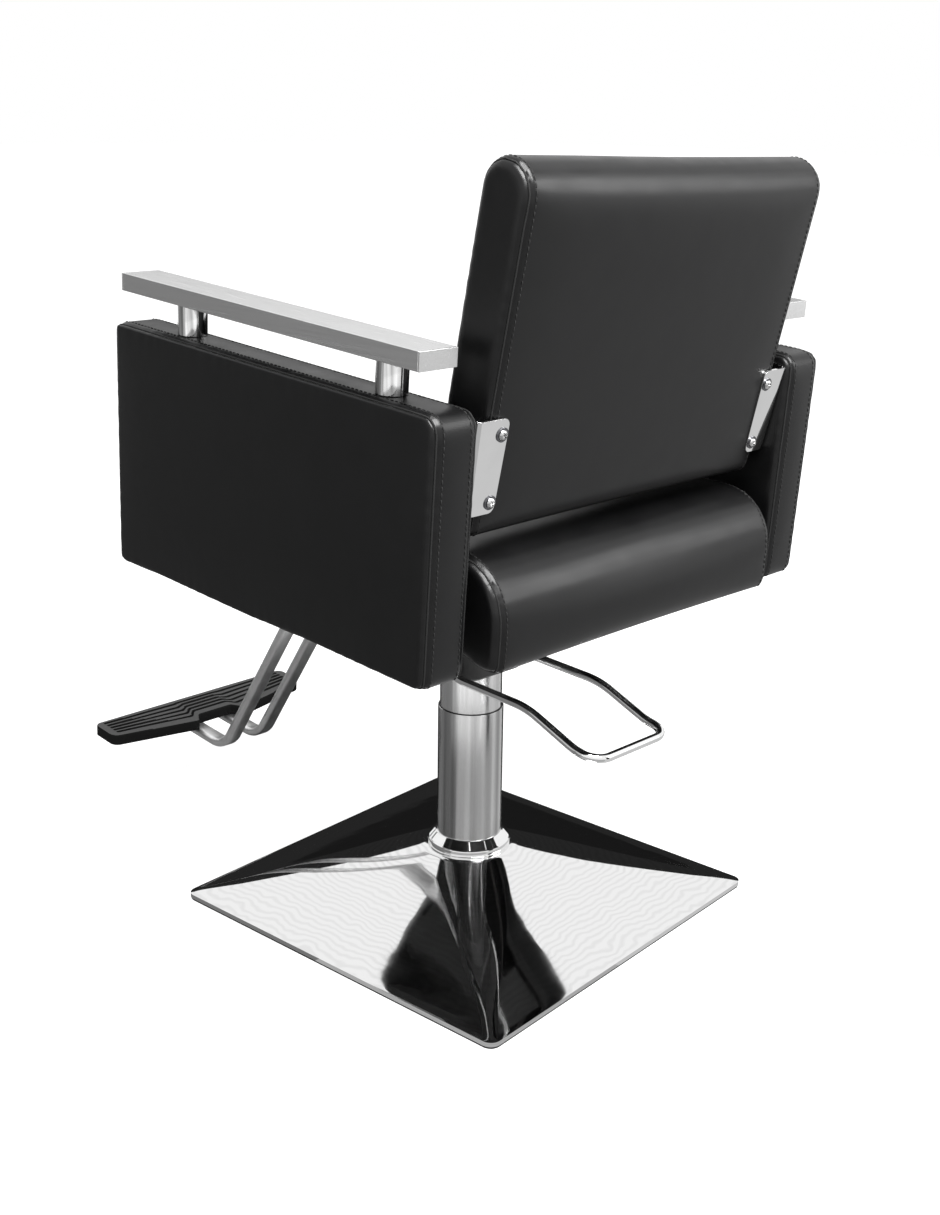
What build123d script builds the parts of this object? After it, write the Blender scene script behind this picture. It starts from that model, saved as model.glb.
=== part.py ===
from build123d import *
import math
import os

# Styling chair on a square pressed base with a foot-pumped telescopic column.
# Millimetres, +Z up. Origin on the column's axis at floor level. The sitter faces -Y and has +X on
# the left. The seat unit (seat, arms, back and footrest) leans back a few degrees on its webs, so it
# is drawn level and then turned by `leaned`. The back leans further, so it is drawn upright on its
# own lower rear edge and turned by `reclined`.

# ---- base ----
BASE_SIDE = 500.0
BASE_CORNER = 13.0
BASE_TURN = 4.5            # the seat swivels, so the base stands turned under it
MAT_T = 2.0
RIM_TOP = 8.0
COVER_T = 1.5
DOME_TOP_Z = 72.0
DOME_TOP_R = 56.0
DOME_CURVE = 1.15          # 1 is a straight-sided pyramid, more is hollow-sided
PLATE_SIDE = 410.0
PLATE_T = 8.0
FLANGE_R = 75.0
FLANGE_T = 8.0
FLANGE_BOLTS = 6
FLANGE_BOLT_RING_R = 62.0
COLLAR_R = 51.5
COLLAR_LIP_H = 8.5
COLLAR_CONE_H = 9.5

# ---- column ----
COLUMN_R = 40.0
COLUMN_BORE_R = 38.0
COLUMN_TOP_Z = 255.0
LIFTER_R = 37.7            # moving tube that slides in the column
LIFTER_BORE_R = 35.2
LIFTER_FOOT_Z = 90.0
GUIDE_BUSH_R = 38.8
GUIDE_BUSH_H = 12.0
RUNNING_GAP = 0.06

# ---- thrust bearing and ram ----
RACE_R = 17.0
RACE_BORE_R = 6.08
RACE_T = 3.0
BALL_R = 2.5
BALLS = 10
BALL_RING_R = 12.5
SPIGOT_R = 6.0
ROD_R = 9.0
ROD_TOP_Z = 210.0
ROD_THREAD_R = 7.0
PISTON_H = 18.0
PRESSURE_BORE_R = 14.0
PRESSURE_R = 17.0

# ---- pump head and pedal ----
HEAD_W = 100.0
HEAD_D = 96.0
HEAD_BOTTOM_Z = 306.0
HEAD_TOP_Z = 360.0
HEAD_CORNER = 20.0
POCKET_FLOOR_Z = 314.0
SHAFT_R = 8.0
SHAFT_Z = 332.0
SHAFT_HALF = 70.0
FINGER_REACH = 34.0
FINGER_T = 10.0
PLUNGER_Y = 26.5
PLUNGER_R = 3.5
PLUNGER_TOP_Z = 326.5
BARREL_R = 8.0
BARREL_BOTTOM_Z = 240.0
SPRING_SEAT_Z = 290.0
SPRING_R = 5.0
SPRING_WIRE_R = 0.7
PEDAL_ROD_R = 5.0
PEDAL_HALF = 62.0
PEDAL_REACH = 254.0
HUB_R = 14.0
HUB_W = 14.0

# ---- seat unit: drawn level, then leaned back about this height on the column's axis ----
SEAT_LEAN = 3.6
LEAN_PIVOT_Z = 400.0
MOUNT_PLATE_SIDE = 170.0
MOUNT_PLATE_T = 6.0
HEAD_BOLT_OFFSET = 28.0
RAIL_X = 75.0
RAIL_W = 30.0
RAIL_WALL = 2.0
RAIL_BOTTOM_Z = 408.0
RAIL_FRONT_Y = -235.0
RAIL_REAR_Y = 150.0
BAR_T = 5.0
CROSS_BAR_YS = (-150.0, 110.0)
CROSS_BAR_W = 44.0
BOARD_T = 15.0
SEAT_HALF = 228.0
SEAT_FRONT_Y = -292.0
SEAT_REAR_Y = 261.0
SEAT_TOP_Z = 546.0
SEAT_SKIRT_Y = 229.0       # behind the board the rear roll hangs lower
SEAT_SKIRT_Z = 431.0
ARM_HALF = 308.0           # outer faces of the arm panels
ARM_T = 60.0
ARM_FRONT_Y = -283.0
ARM_REAR_Y = 239.0
ARM_BOTTOM_Z = 429.0
ARM_FRONT_DROP = 12.0      # the lower edge runs down towards the front
ARM_TOP_Z = 701.0
ARM_EDGE = 9.0
CORE_T = 22.0
POST_R = 16.0
POST_BORE_R = 13.5
POST_YS = (-172.0, 148.0)
ARM_BAR_X = 280.5
ARM_BAR_W = 48.0
ARM_BAR_H = 19.0
ARM_BAR_Z = 735.0
ARM_BAR_FRONT_Y = -267.0
ARM_BAR_REAR_Y = 212.0
ARM_BAR_WALL = 2.0

# ---- back ----
BACK_RECLINE = 8.8
BACK_Y = 212.5
BACK_Z = 560.0
BACK_T = 64.0
BACK_H = 366.0
BACK_HALF_LOW = 229.5
BACK_HALF_TOP = 233.5
BACK_EDGE = 11.0
BACK_BOARD_T = 12.0
BRACKET_T = 3.0
BRACKET_LOW = 30.0
BRACKET_HIGH = 128.0
BRACKET_INNER_X = 201.0
BRACKET_OUTER_X = 247.7
BRACKET_DEPTH = 45.0
BRACKET_SCREW_X = 213.0
BRACKET_SCREW_ZS = (42.0, 112.0)

# ---- footrest ----
FOOT_TUBE_X = 30.0
FOOT_TUBE_W = 25.0
FOOT_TUBE_T = 12.5
FOOT_PATH = ((-118.0, 401.9), (-226.0, 401.9), (-443.5, 34.5), (-574.0, 37.0))
FOOT_PATH_RADII = (35.0, 45.0)
FOOT_BOLT_YS = (-194.0, -138.0)
SADDLE_T = 7.0
PAD_Y = -539.0
PAD_HALF = 167.0
PAD_DEPTH = 78.0
PAD_T = 15.0
NOTCH_W = 78.0
NOTCH_DEPTH = 16.0
STRAP_T = 4.0

CLOSE_GAP = 0.05           # between a shank and its hole
SOFT_GAP = 0.3             # between a padded solid and the board inside it


# ---------------------------------------------------------------- drawing helpers
def box(x0, x1, y0, y1, z0, z1):
    """A block between two corners."""
    centre = Pos((x0 + x1) / 2, (y0 + y1) / 2, (z0 + z1) / 2)
    return centre * Box(x1 - x0, y1 - y0, z1 - z0)


def disc(radius, z0, z1, x=0.0, y=0.0):
    """An upright cylinder between two heights."""
    return Pos(x, y, (z0 + z1) / 2) * Cylinder(radius, z1 - z0)


def ring(outer, inner, z0, z1, x=0.0, y=0.0):
    """An upright tube or washer."""
    return disc(outer, z0, z1, x, y) - disc(inner, z0 - 1, z1 + 1, x, y)


def rod_along_x(radius, x0, x1, y, z):
    """A cylinder that lies across the chair."""
    return Pos((x0 + x1) / 2, y, z) * Rot(0, 90, 0) * Cylinder(radius, abs(x1 - x0))


def rounded_block(width, depth, z0, z1, corner):
    """An upright block with rounded corners, centred on the column's axis."""
    return Pos(0, 0, z0) * extrude(RectangleRounded(width, depth, corner), z1 - z0)


def profile_across(points, half_width):
    """A (y, z) outline carried across the chair from -half_width to +half_width."""
    outline = Plane.YZ * make_face(Polyline(*points, close=True))
    return Pos(-half_width, 0, 0) * extrude(outline, 2 * half_width)


def mirrored(shape):
    """The same piece on the other side of the chair."""
    return shape.mirror(Plane.YZ)


def group(shapes):
    """Separate solids kept together in one node."""
    return Compound([part for shape in shapes for part in shape.solids()])


def leaned(shape):
    """Lean a piece of the level seat unit back with the seat."""
    return Pos(0, 0, LEAN_PIVOT_Z) * Rot(-SEAT_LEAN, 0, 0) * Pos(0, 0, -LEAN_PIVOT_Z) * shape


def reclined(shape):
    """Place a piece of the upright back on the seat unit, before it leans."""
    return Pos(0, BACK_Y, BACK_Z) * Rot(-BACK_RECLINE, 0, 0) * shape


def button_screw(head_r, head_h, shank_r, length):
    """Button-head socket screw: head above z = 0, shank below it."""
    head = fillet(disc(head_r, 0, head_h).edges().group_by(Axis.Z)[-1], head_h * 0.6)
    socket = Pos(0, 0, head_h * 0.45) * extrude(RegularPolygon(head_r * 0.42, 6), head_h)
    return (head - socket) + disc(shank_r, -length, 0.0)


def hex_bolt(across_corners_r, head_h, shank_r, length):
    """Hexagon-head bolt: head above z = 0, shank below it."""
    return extrude(RegularPolygon(across_corners_r, 6), head_h) + disc(shank_r, -length, 0.0)


# ---------------------------------------------------------------- base
def base_mat():
    return Rot(0, 0, BASE_TURN) * rounded_block(BASE_SIDE - 2, BASE_SIDE - 2, 0, MAT_T, BASE_CORNER - 1)


def base_plate():
    plate = rounded_block(PLATE_SIDE, PLATE_SIDE, MAT_T, MAT_T + PLATE_T, 12)
    return Rot(0, 0, BASE_TURN) * (plate - group(flange_bolt_shanks(4 + CLOSE_GAP)))


def dome(inset):
    """The square-to-round pressing above the rim, drawn in by `inset` for its inner side."""
    stages = 6
    sections = []
    for stage in range(stages):
        t = stage / (stages - 1)
        half = BASE_SIDE / 2 + (DOME_TOP_R - BASE_SIDE / 2) * t - inset
        roundness = BASE_CORNER / (BASE_SIDE / 2) + 0.93 * t ** 2
        z = RIM_TOP + (DOME_TOP_Z - RIM_TOP) * t ** DOME_CURVE - inset
        sections.append(Pos(0, 0, z) * RectangleRounded(2 * half, 2 * half, half * roundness))
    return loft(sections)


def base_cover():
    skirt_side = BASE_SIDE
    outer = rounded_block(skirt_side, skirt_side, MAT_T, RIM_TOP, BASE_CORNER) + dome(0)
    inner_side = BASE_SIDE - 2 * COVER_T
    inner = rounded_block(inner_side, inner_side, 0, RIM_TOP - COVER_T, BASE_CORNER - COVER_T) + dome(COVER_T)
    cover = outer - inner - disc(COLUMN_R + 1, DOME_TOP_Z - 20, DOME_TOP_Z + 1)
    return Rot(0, 0, BASE_TURN) * cover


def base_collar():
    lip_top = DOME_TOP_Z + COLLAR_LIP_H
    lip = disc(COLLAR_R, DOME_TOP_Z, lip_top)
    cone = Pos(0, 0, lip_top + COLLAR_CONE_H / 2) * Cone(COLLAR_R - 1, COLUMN_R + 1, COLLAR_CONE_H)
    return lip + cone - disc(COLUMN_R + CLOSE_GAP, 0, 200)


def flange_z():
    return MAT_T + PLATE_T


def flange_bolt_shanks(radius):
    """Shanks of the flange bolts, as holes for the plate or as the bolts' own shanks."""
    low = MAT_T + 1
    spots = PolarLocations(FLANGE_BOLT_RING_R, FLANGE_BOLTS)
    return [spot * disc(radius, low, flange_z() + FLANGE_T) for spot in spots]


def tube_flange():
    top = flange_z() + FLANGE_T
    flange = disc(FLANGE_R, flange_z(), top) + ring(COLUMN_BORE_R - CLOSE_GAP, 30, top, top + 12)
    return Rot(0, 0, BASE_TURN) * (flange - group(flange_bolt_shanks(4 + CLOSE_GAP)))


def flange_bolts():
    seat = flange_z() + FLANGE_T
    bolt = hex_bolt(7.5, 5.5, 4.0, seat - MAT_T - 1.5)
    spots = PolarLocations(FLANGE_BOLT_RING_R, FLANGE_BOLTS)
    return Rot(0, 0, BASE_TURN) * group([Pos(0, 0, seat) * spot * bolt for spot in spots])


def column_tube():
    foot = flange_z() + FLANGE_T
    tube = ring(COLUMN_R, COLUMN_BORE_R, foot, COLUMN_TOP_Z)
    return tube - disc(GUIDE_BUSH_R, COLUMN_TOP_Z - GUIDE_BUSH_H, COLUMN_TOP_Z + 1)


def column_guide_bush():
    low = COLUMN_TOP_Z - GUIDE_BUSH_H + CLOSE_GAP
    return ring(GUIDE_BUSH_R - CLOSE_GAP, LIFTER_R + RUNNING_GAP, low, COLUMN_TOP_Z + 0.8)


def bearing_z():
    return flange_z() + FLANGE_T


def thrust_race_lower():
    return ring(RACE_R, RACE_BORE_R, bearing_z(), bearing_z() + RACE_T)


# ---------------------------------------------------------------- ram: stands on the thrust bearing
def ball_z():
    return bearing_z() + RACE_T + BALL_R + RUNNING_GAP


def upper_race_z():
    return ball_z() + BALL_R + CLOSE_GAP


def thrust_balls():
    return group([spot * Pos(0, 0, ball_z()) * Sphere(BALL_R) for spot in PolarLocations(BALL_RING_R, BALLS)])


def thrust_cage():
    cage = ring(16.2, 8.5, ball_z() - 0.8, ball_z() + 0.8)
    hole = disc(BALL_R + 0.1, ball_z() - 2, ball_z() + 2)
    return cage - group([spot * hole for spot in PolarLocations(BALL_RING_R, BALLS)])


def thrust_race_upper():
    return ring(RACE_R, RACE_BORE_R, upper_race_z(), upper_race_z() + RACE_T)


def ram_rod():
    foot = upper_race_z() + RACE_T
    spigot = disc(SPIGOT_R, bearing_z() + 1, foot)
    rod = disc(ROD_R, foot + 5, ROD_TOP_Z)
    thread = disc(ROD_THREAD_R, ROD_TOP_Z, ROD_TOP_Z + PISTON_H + 10)
    return spigot + disc(RACE_R, foot, foot + 5) + rod + thread


def ram_piston():
    piston = ring(PRESSURE_BORE_R - CLOSE_GAP, ROD_THREAD_R + CLOSE_GAP, ROD_TOP_Z, ROD_TOP_Z + PISTON_H)
    groove = ring(PRESSURE_R, PRESSURE_BORE_R - 2.5, ROD_TOP_Z + 7, ROD_TOP_Z + 11)
    return piston - groove


def piston_seal():
    low = ROD_TOP_Z + 7 + CLOSE_GAP
    high = ROD_TOP_Z + 11 - CLOSE_GAP
    return ring(PRESSURE_BORE_R - 0.02, PRESSURE_BORE_R - 2.4, low, high)


def ram_nut():
    low = ROD_TOP_Z + PISTON_H
    nut = Pos(0, 0, low) * extrude(RegularPolygon(11.5, 6), 8)
    return nut - disc(ROD_THREAD_R + CLOSE_GAP, low - 1, low + 9)


# ---------------------------------------------------------------- lifter: the tube that rises with the seat
def lifter_tube():
    return ring(LIFTER_R, LIFTER_BORE_R, LIFTER_FOOT_Z, HEAD_BOTTOM_Z + 5)


def lifter_gland():
    guide = disc(COLUMN_BORE_R - RUNNING_GAP, LIFTER_FOOT_Z - 8, LIFTER_FOOT_Z)
    plug = disc(LIFTER_BORE_R - CLOSE_GAP, LIFTER_FOOT_Z, LIFTER_FOOT_Z + 10)
    bore = disc(ROD_R + RUNNING_GAP, 0, LIFTER_FOOT_Z + 20)
    seal_groove = disc(11.5, LIFTER_FOOT_Z - 5, LIFTER_FOOT_Z - 1)
    return guide + plug - bore - seal_groove


def rod_seal():
    return ring(11.45, ROD_R + 0.03, LIFTER_FOOT_Z - 4.95, LIFTER_FOOT_Z - 1.05)


def pressure_tube():
    return ring(PRESSURE_R, PRESSURE_BORE_R, LIFTER_FOOT_Z + 10, HEAD_BOTTOM_Z + 5)


def pump_head():
    body = rounded_block(HEAD_W, HEAD_D, HEAD_BOTTOM_Z, HEAD_TOP_Z, HEAD_CORNER)
    body = chamfer(body.edges().group_by(Axis.Z)[0], 3)
    seat_low = HEAD_BOTTOM_Z - 1
    seat_high = HEAD_BOTTOM_Z + 5
    lifter_seat = ring(LIFTER_R + CLOSE_GAP, LIFTER_BORE_R - CLOSE_GAP, seat_low, seat_high)
    pressure_seat = ring(PRESSURE_R + CLOSE_GAP, PRESSURE_BORE_R - CLOSE_GAP, seat_low, seat_high)
    pocket = box(-12, 12, -14, FINGER_REACH + 4, POCKET_FLOOR_Z, HEAD_TOP_Z + 1)
    shaft_bore = rod_along_x(SHAFT_R + RUNNING_GAP, -HEAD_W, HEAD_W, 0, SHAFT_Z)
    barrel_hole = disc(BARREL_R + CLOSE_GAP, HEAD_BOTTOM_Z - 1, POCKET_FLOOR_Z + 1, 0, PLUNGER_Y)
    bolt_hole = disc(4 + CLOSE_GAP, HEAD_TOP_Z - 22, HEAD_TOP_Z + 1)
    bolt_holes = group([spot * bolt_hole for spot in head_bolt_spots()])
    return body - lifter_seat - pressure_seat - pocket - shaft_bore - barrel_hole - bolt_holes


def plunger_barrel():
    barrel = disc(BARREL_R, BARREL_BOTTOM_Z, POCKET_FLOOR_Z, 0, PLUNGER_Y)
    bore = disc(PLUNGER_R + CLOSE_GAP, BARREL_BOTTOM_Z - 1, POCKET_FLOOR_Z, 0, PLUNGER_Y)
    spring_bore = disc(6.4, SPRING_SEAT_Z, POCKET_FLOOR_Z + 1, 0, PLUNGER_Y)
    return barrel - bore - spring_bore


def pump_plunger():
    cap = disc(6.0, PLUNGER_TOP_Z - 3, PLUNGER_TOP_Z, 0, PLUNGER_Y)
    return cap + disc(PLUNGER_R, 262, PLUNGER_TOP_Z - 3, 0, PLUNGER_Y)


def plunger_spring():
    low = SPRING_SEAT_Z + SPRING_WIRE_R + CLOSE_GAP
    height = PLUNGER_TOP_Z - 3 - SPRING_WIRE_R - CLOSE_GAP - low
    coil = Helix(height / 8, height, SPRING_R)
    wire = Plane(origin=coil @ 0, z_dir=coil % 0) * Circle(SPRING_WIRE_R)
    return Pos(0, PLUNGER_Y, low) * sweep(wire, path=coil, is_frenet=True)


# ---------------------------------------------------------------- pedal
def pedal_drop():
    """Angle at which the pedal's arms leave their hubs, below level."""
    return math.degrees(math.atan2(SHAFT_Z - 313.5, 44.0))


def pedal_shaft():
    shaft = rod_along_x(SHAFT_R, -SHAFT_HALF, SHAFT_HALF, 0, SHAFT_Z)
    finger = box(-10, 10, 0, FINGER_REACH, SHAFT_Z - FINGER_T / 2, SHAFT_Z + FINGER_T / 2)
    tip_edges = finger.edges().filter_by(Axis.X).group_by(Axis.Y)[-1]
    return shaft + fillet(tip_edges, FINGER_T / 2 - 0.2)


def along_arm(shape):
    """Turn an upright piece on the shaft's axis so that it points down the pedal's arm."""
    return Pos(PEDAL_HALF, 0, SHAFT_Z) * Rot(-90 - pedal_drop(), 0, 0) * shape


def pedal_hub():
    boss = rod_along_x(HUB_R, PEDAL_HALF - HUB_W / 2, PEDAL_HALF + HUB_W / 2, 0, SHAFT_Z)
    hub = boss + along_arm(disc(8, 0, 34))
    hub -= rod_along_x(SHAFT_R + CLOSE_GAP, 0, 100, 0, SHAFT_Z)
    hub -= along_arm(disc(PEDAL_ROD_R + CLOSE_GAP, 12.5, 40))
    hub -= disc(5 + CLOSE_GAP, hub_screw_z(), SHAFT_Z + HUB_R + 5, PEDAL_HALF)
    return hub - disc(3 + CLOSE_GAP, SHAFT_Z, SHAFT_Z + HUB_R + 5, PEDAL_HALF)


def hub_screw_z():
    """Height of the spot face that each clamp screw's head sits on."""
    return SHAFT_Z + HUB_R - 1.2


def pedal_hubs():
    return group([pedal_hub(), mirrored(pedal_hub())])


def hub_screws():
    screw = Pos(PEDAL_HALF, 0, hub_screw_z()) * button_screw(5, 3, 3, HUB_R - SHAFT_R - 1.4)
    return group([screw, mirrored(screw)])


def pedal_loop():
    drop = math.radians(pedal_drop())
    start_y = 13 * math.cos(drop)
    start_z = SHAFT_Z - 13 * math.sin(drop)
    side = [(start_y, start_z), (44, 313.5), (150, 310), (222, 282.5), (PEDAL_REACH, 277)]
    left = [(PEDAL_HALF, y, z) for y, z in side]
    right = [(-PEDAL_HALF, y, z) for y, z in reversed(side)]
    radii = [45, 110, 60, 22, 22, 60, 110, 45]
    path = FilletPolyline(*left, *right, radius=radii)
    return sweep(Plane(origin=path @ 0, z_dir=path % 0) * Circle(PEDAL_ROD_R), path=path)


# ---------------------------------------------------------------- seat frame
def head_bolt_spots():
    return GridLocations(2 * HEAD_BOLT_OFFSET, 2 * HEAD_BOLT_OFFSET, 2, 2)


def mount_plate():
    top = HEAD_TOP_Z + MOUNT_PLATE_T
    plate = rounded_block(MOUNT_PLATE_SIDE, MOUNT_PLATE_SIDE, HEAD_TOP_Z, top, 10)
    return plate - group([spot * disc(4.5, HEAD_TOP_Z - 1, top + 1) for spot in head_bolt_spots()])


def head_bolts():
    seat = HEAD_TOP_Z + MOUNT_PLATE_T
    bolt = hex_bolt(7.5, 5.3, 4.0, 25)
    return group([spot * Pos(0, 0, seat) * bolt for spot in head_bolt_spots()])


def frame_webs():
    low = HEAD_TOP_Z + MOUNT_PLATE_T
    above_rails = leaned(box(-200, 200, -200, 200, RAIL_BOTTOM_Z, RAIL_BOTTOM_Z + 100))
    web = box(RAIL_X - 3, RAIL_X + 3, -80, 80, low, RAIL_BOTTOM_Z + 40) - above_rails
    return group([web, mirrored(web)])


def frame_rails():
    half = RAIL_W / 2
    high = RAIL_BOTTOM_Z + RAIL_W
    outer = box(RAIL_X - half, RAIL_X + half, RAIL_FRONT_Y, RAIL_REAR_Y, RAIL_BOTTOM_Z, high)
    inner = box(RAIL_X - half + RAIL_WALL, RAIL_X + half - RAIL_WALL, RAIL_FRONT_Y - 1, RAIL_REAR_Y + 1,
                RAIL_BOTTOM_Z + RAIL_WALL, high - RAIL_WALL)
    rail = outer - inner
    return group([rail, mirrored(rail)])


def board_z():
    return RAIL_BOTTOM_Z + RAIL_W + BAR_T


def cross_bar(y):
    """Flat bar across the rails with ends turned up against the arm panels."""
    low = board_z() - BAR_T
    reach = ARM_HALF - ARM_T - SOFT_GAP
    half = CROSS_BAR_W / 2
    bar = box(-reach, reach, y - half, y + half, low, low + BAR_T)
    end = box(reach - BAR_T, reach, y - half, y + half, low, low + 54)
    bar = bar + end + mirrored(end)
    bar -= group([Pos(x, y, 0) * disc(2.7, low - 1, low + BAR_T + 1) for x in board_screw_xs()])
    return bar - group(arm_bolt_shanks(y, 3.2, reach - 10, reach + 10))


def board_screw_xs():
    return (-160.0, -30.0, 30.0, 160.0)


def board_screws():
    low = board_z() - BAR_T
    screw = Rot(180, 0, 0) * button_screw(5, 3, 2.5, BAR_T + 11)
    return group([Pos(x, y, low) * screw for y in CROSS_BAR_YS for x in board_screw_xs()])


def seat_board():
    board = box(-214, 214, SEAT_FRONT_Y + 22, SEAT_REAR_Y - 34, board_z(), board_z() + BOARD_T)
    holes = [Pos(x, y, 0) * disc(2.5 + CLOSE_GAP, board_z() - 1, board_z() + 11.1)
             for y in CROSS_BAR_YS for x in board_screw_xs()]
    return fillet(board.edges().filter_by(Axis.Z), 20) - group(holes)


def edge_across(shape, y, z):
    """The edge running across the chair that is nearest to a place in its side view."""
    return shape.edges().filter_by(Axis.X).sort_by_distance((0, y, z))[0]


def seat_cushion():
    low = board_z()
    outline = [(SEAT_FRONT_Y, low), (SEAT_SKIRT_Y, low), (SEAT_SKIRT_Y, SEAT_SKIRT_Z),
               (SEAT_REAR_Y, SEAT_SKIRT_Z), (SEAT_REAR_Y, SEAT_TOP_Z), (SEAT_FRONT_Y, SEAT_TOP_Z)]
    pad = profile_across(outline, SEAT_HALF)
    pad = fillet(edge_across(pad, SEAT_REAR_Y, SEAT_TOP_Z), 62)
    pad = fillet(edge_across(pad, SEAT_FRONT_Y, SEAT_TOP_Z), 45)
    pad = fillet(edge_across(pad, SEAT_FRONT_Y, low), 14)
    pad = fillet(edge_across(pad, SEAT_REAR_Y, SEAT_SKIRT_Z), 14)
    pad = fillet(edge_across(pad, SEAT_SKIRT_Y, SEAT_SKIRT_Z), 5)
    ends = pad.faces().filter_by(Axis.X)
    pad = fillet(ends[0].edges() + ends[1].edges(), 7)
    pocket = box(-214 - SOFT_GAP, 214 + SOFT_GAP, SEAT_FRONT_Y + 22 - SOFT_GAP, SEAT_REAR_Y - 34 + SOFT_GAP,
                 low - 1, low + BOARD_T + SOFT_GAP)
    return pad - pocket


# ---------------------------------------------------------------- arms
def arm_bolt_shanks(y, radius, x0, x1):
    """Shanks of the two bolts at each end of a cross bar, on both sides of the chair."""
    z = board_z() + 32
    left = [rod_along_x(radius, x0, x1, y + step, z) for step in (-13, 13)]
    return left + [mirrored(shank) for shank in left]


def bracket_screw_shanks(radius, x0, x1):
    """Shanks of the screws that hold the left back bracket to the arm."""
    return [reclined(rod_along_x(radius, x0, x1, -24, z)) for z in BRACKET_SCREW_ZS]


def arm_x():
    return ARM_HALF - ARM_T / 2


def arm_outline(inset):
    """(y, z) outline of the arm panel, drawn in by `inset`."""
    front = ARM_FRONT_Y + inset
    rear = ARM_REAR_Y - inset
    return [(front, ARM_BOTTOM_Z - ARM_FRONT_DROP + inset), (rear, ARM_BOTTOM_Z + inset),
            (rear, ARM_TOP_Z - inset), (front, ARM_TOP_Z - inset)]


def arm_core():
    core = Pos(arm_x(), 0, 0) * profile_across(arm_outline(18), CORE_T / 2)
    inner_x = arm_x() - CORE_T / 2
    core -= group([disc(4 + CLOSE_GAP, 648, 700, arm_x(), y) for y in POST_YS])
    for y in CROSS_BAR_YS:
        core -= group(arm_bolt_shanks(y, 3 + CLOSE_GAP, inner_x - 1, inner_x + 16.1)[:2])
    return core - group(bracket_screw_shanks(3 + CLOSE_GAP, inner_x - 1, inner_x + 16.1))


def arm_panel():
    panel = Pos(arm_x(), 0, 0) * profile_across(arm_outline(0), ARM_T / 2)
    corners = panel.edges().filter_by(Axis.X)
    panel = fillet(corners, 14)
    faces = panel.faces().filter_by(Axis.X)
    panel = fillet(faces[0].edges() + faces[1].edges(), ARM_EDGE)
    inner_x = arm_x() - CORE_T / 2
    panel -= Pos(arm_x(), 0, 0) * profile_across(arm_outline(18 - SOFT_GAP), CORE_T / 2 + SOFT_GAP)
    panel -= group([disc(4.5, 680, ARM_TOP_Z + 1, arm_x(), y) for y in POST_YS])
    for y in CROSS_BAR_YS:
        panel -= group(arm_bolt_shanks(y, 3.5, inner_x - 40, inner_x + 1)[:2])
    return panel - group(bracket_screw_shanks(3.5, inner_x - 40, inner_x + 1))


def arm_bolts():
    reach = ARM_HALF - ARM_T - SOFT_GAP - BAR_T
    bolt = Rot(0, -90, 0) * button_screw(6.5, 3.6, 3, arm_x() - CORE_T / 2 + 16 - reach)
    z = board_z() + 32
    left = [Pos(reach, y + step, z) * bolt for y in CROSS_BAR_YS for step in (-13, 13)]
    return group(left + [mirrored(one) for one in left])


def arm_posts():
    posts = [ring(POST_R, POST_BORE_R, ARM_TOP_Z, ARM_BAR_Z, arm_x(), y) for y in POST_YS]
    return group(posts + [mirrored(post) for post in posts])


def post_studs():
    studs = [disc(4, 650, ARM_BAR_Z + 7, arm_x(), y) for y in POST_YS]
    return group(studs + [mirrored(stud) for stud in studs])


def arm_bar():
    half = ARM_BAR_W / 2
    low = ARM_BAR_Z
    high = ARM_BAR_Z + ARM_BAR_H
    y0 = ARM_BAR_FRONT_Y + ARM_BAR_WALL
    y1 = ARM_BAR_REAR_Y - ARM_BAR_WALL
    outer = box(ARM_BAR_X - half, ARM_BAR_X + half, y0, y1, low, high)
    inner = box(ARM_BAR_X - half + ARM_BAR_WALL, ARM_BAR_X + half - ARM_BAR_WALL, y0 - 1, y1 + 1,
                low + ARM_BAR_WALL, high - ARM_BAR_WALL)
    return outer - inner - group([disc(4 + CLOSE_GAP, low - 1, low + 4, arm_x(), y) for y in POST_YS])


def bar_end_cap(y, inward):
    """Plate that closes an arm bar, with a plug that grips inside it."""
    half = ARM_BAR_W / 2
    low = ARM_BAR_Z
    clear = ARM_BAR_WALL + CLOSE_GAP
    plate = box(ARM_BAR_X - half, ARM_BAR_X + half, min(y, y + inward * ARM_BAR_WALL),
                max(y, y + inward * ARM_BAR_WALL), low, low + ARM_BAR_H)
    plug = box(ARM_BAR_X - half + clear, ARM_BAR_X + half - clear, min(y, y + inward * 12),
               max(y, y + inward * 12), low + clear, low + ARM_BAR_H - clear)
    return plate + plug


def bar_end_caps():
    left = [bar_end_cap(ARM_BAR_FRONT_Y, 1), bar_end_cap(ARM_BAR_REAR_Y, -1)]
    return group(left + [mirrored(cap) for cap in left])


# ---------------------------------------------------------------- back
def back_outline(inset):
    low = BACK_HALF_LOW - inset
    high = BACK_HALF_TOP - inset
    return [(-low, inset), (low, inset), (high, BACK_H - inset), (-high, BACK_H - inset)]


def back_slab(inset, y0, y1):
    """The back's outline between two depths, measured forward from its rear face."""
    outline = Plane.XZ * make_face(Polyline(*back_outline(inset), close=True))
    return Pos(0, y1, 0) * extrude(outline, y1 - y0)


def back_board():
    board = back_slab(20, -32, -32 + BACK_BOARD_T)
    return reclined(board - group(bracket_hole_shanks(3 + CLOSE_GAP)))


def back_cushion():
    slab = back_slab(0, -BACK_T, 0)
    corners = slab.edges().filter_by(Axis.Y)
    slab = fillet(corners, 22)
    faces = slab.faces().filter_by(Axis.Y)
    slab = fillet(faces[0].edges() + faces[1].edges(), BACK_EDGE)
    pocket = back_slab(20 - SOFT_GAP, -32 - SOFT_GAP, -32 + BACK_BOARD_T + SOFT_GAP)
    return reclined(slab - pocket - group(bracket_hole_shanks(3.5)))


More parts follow.
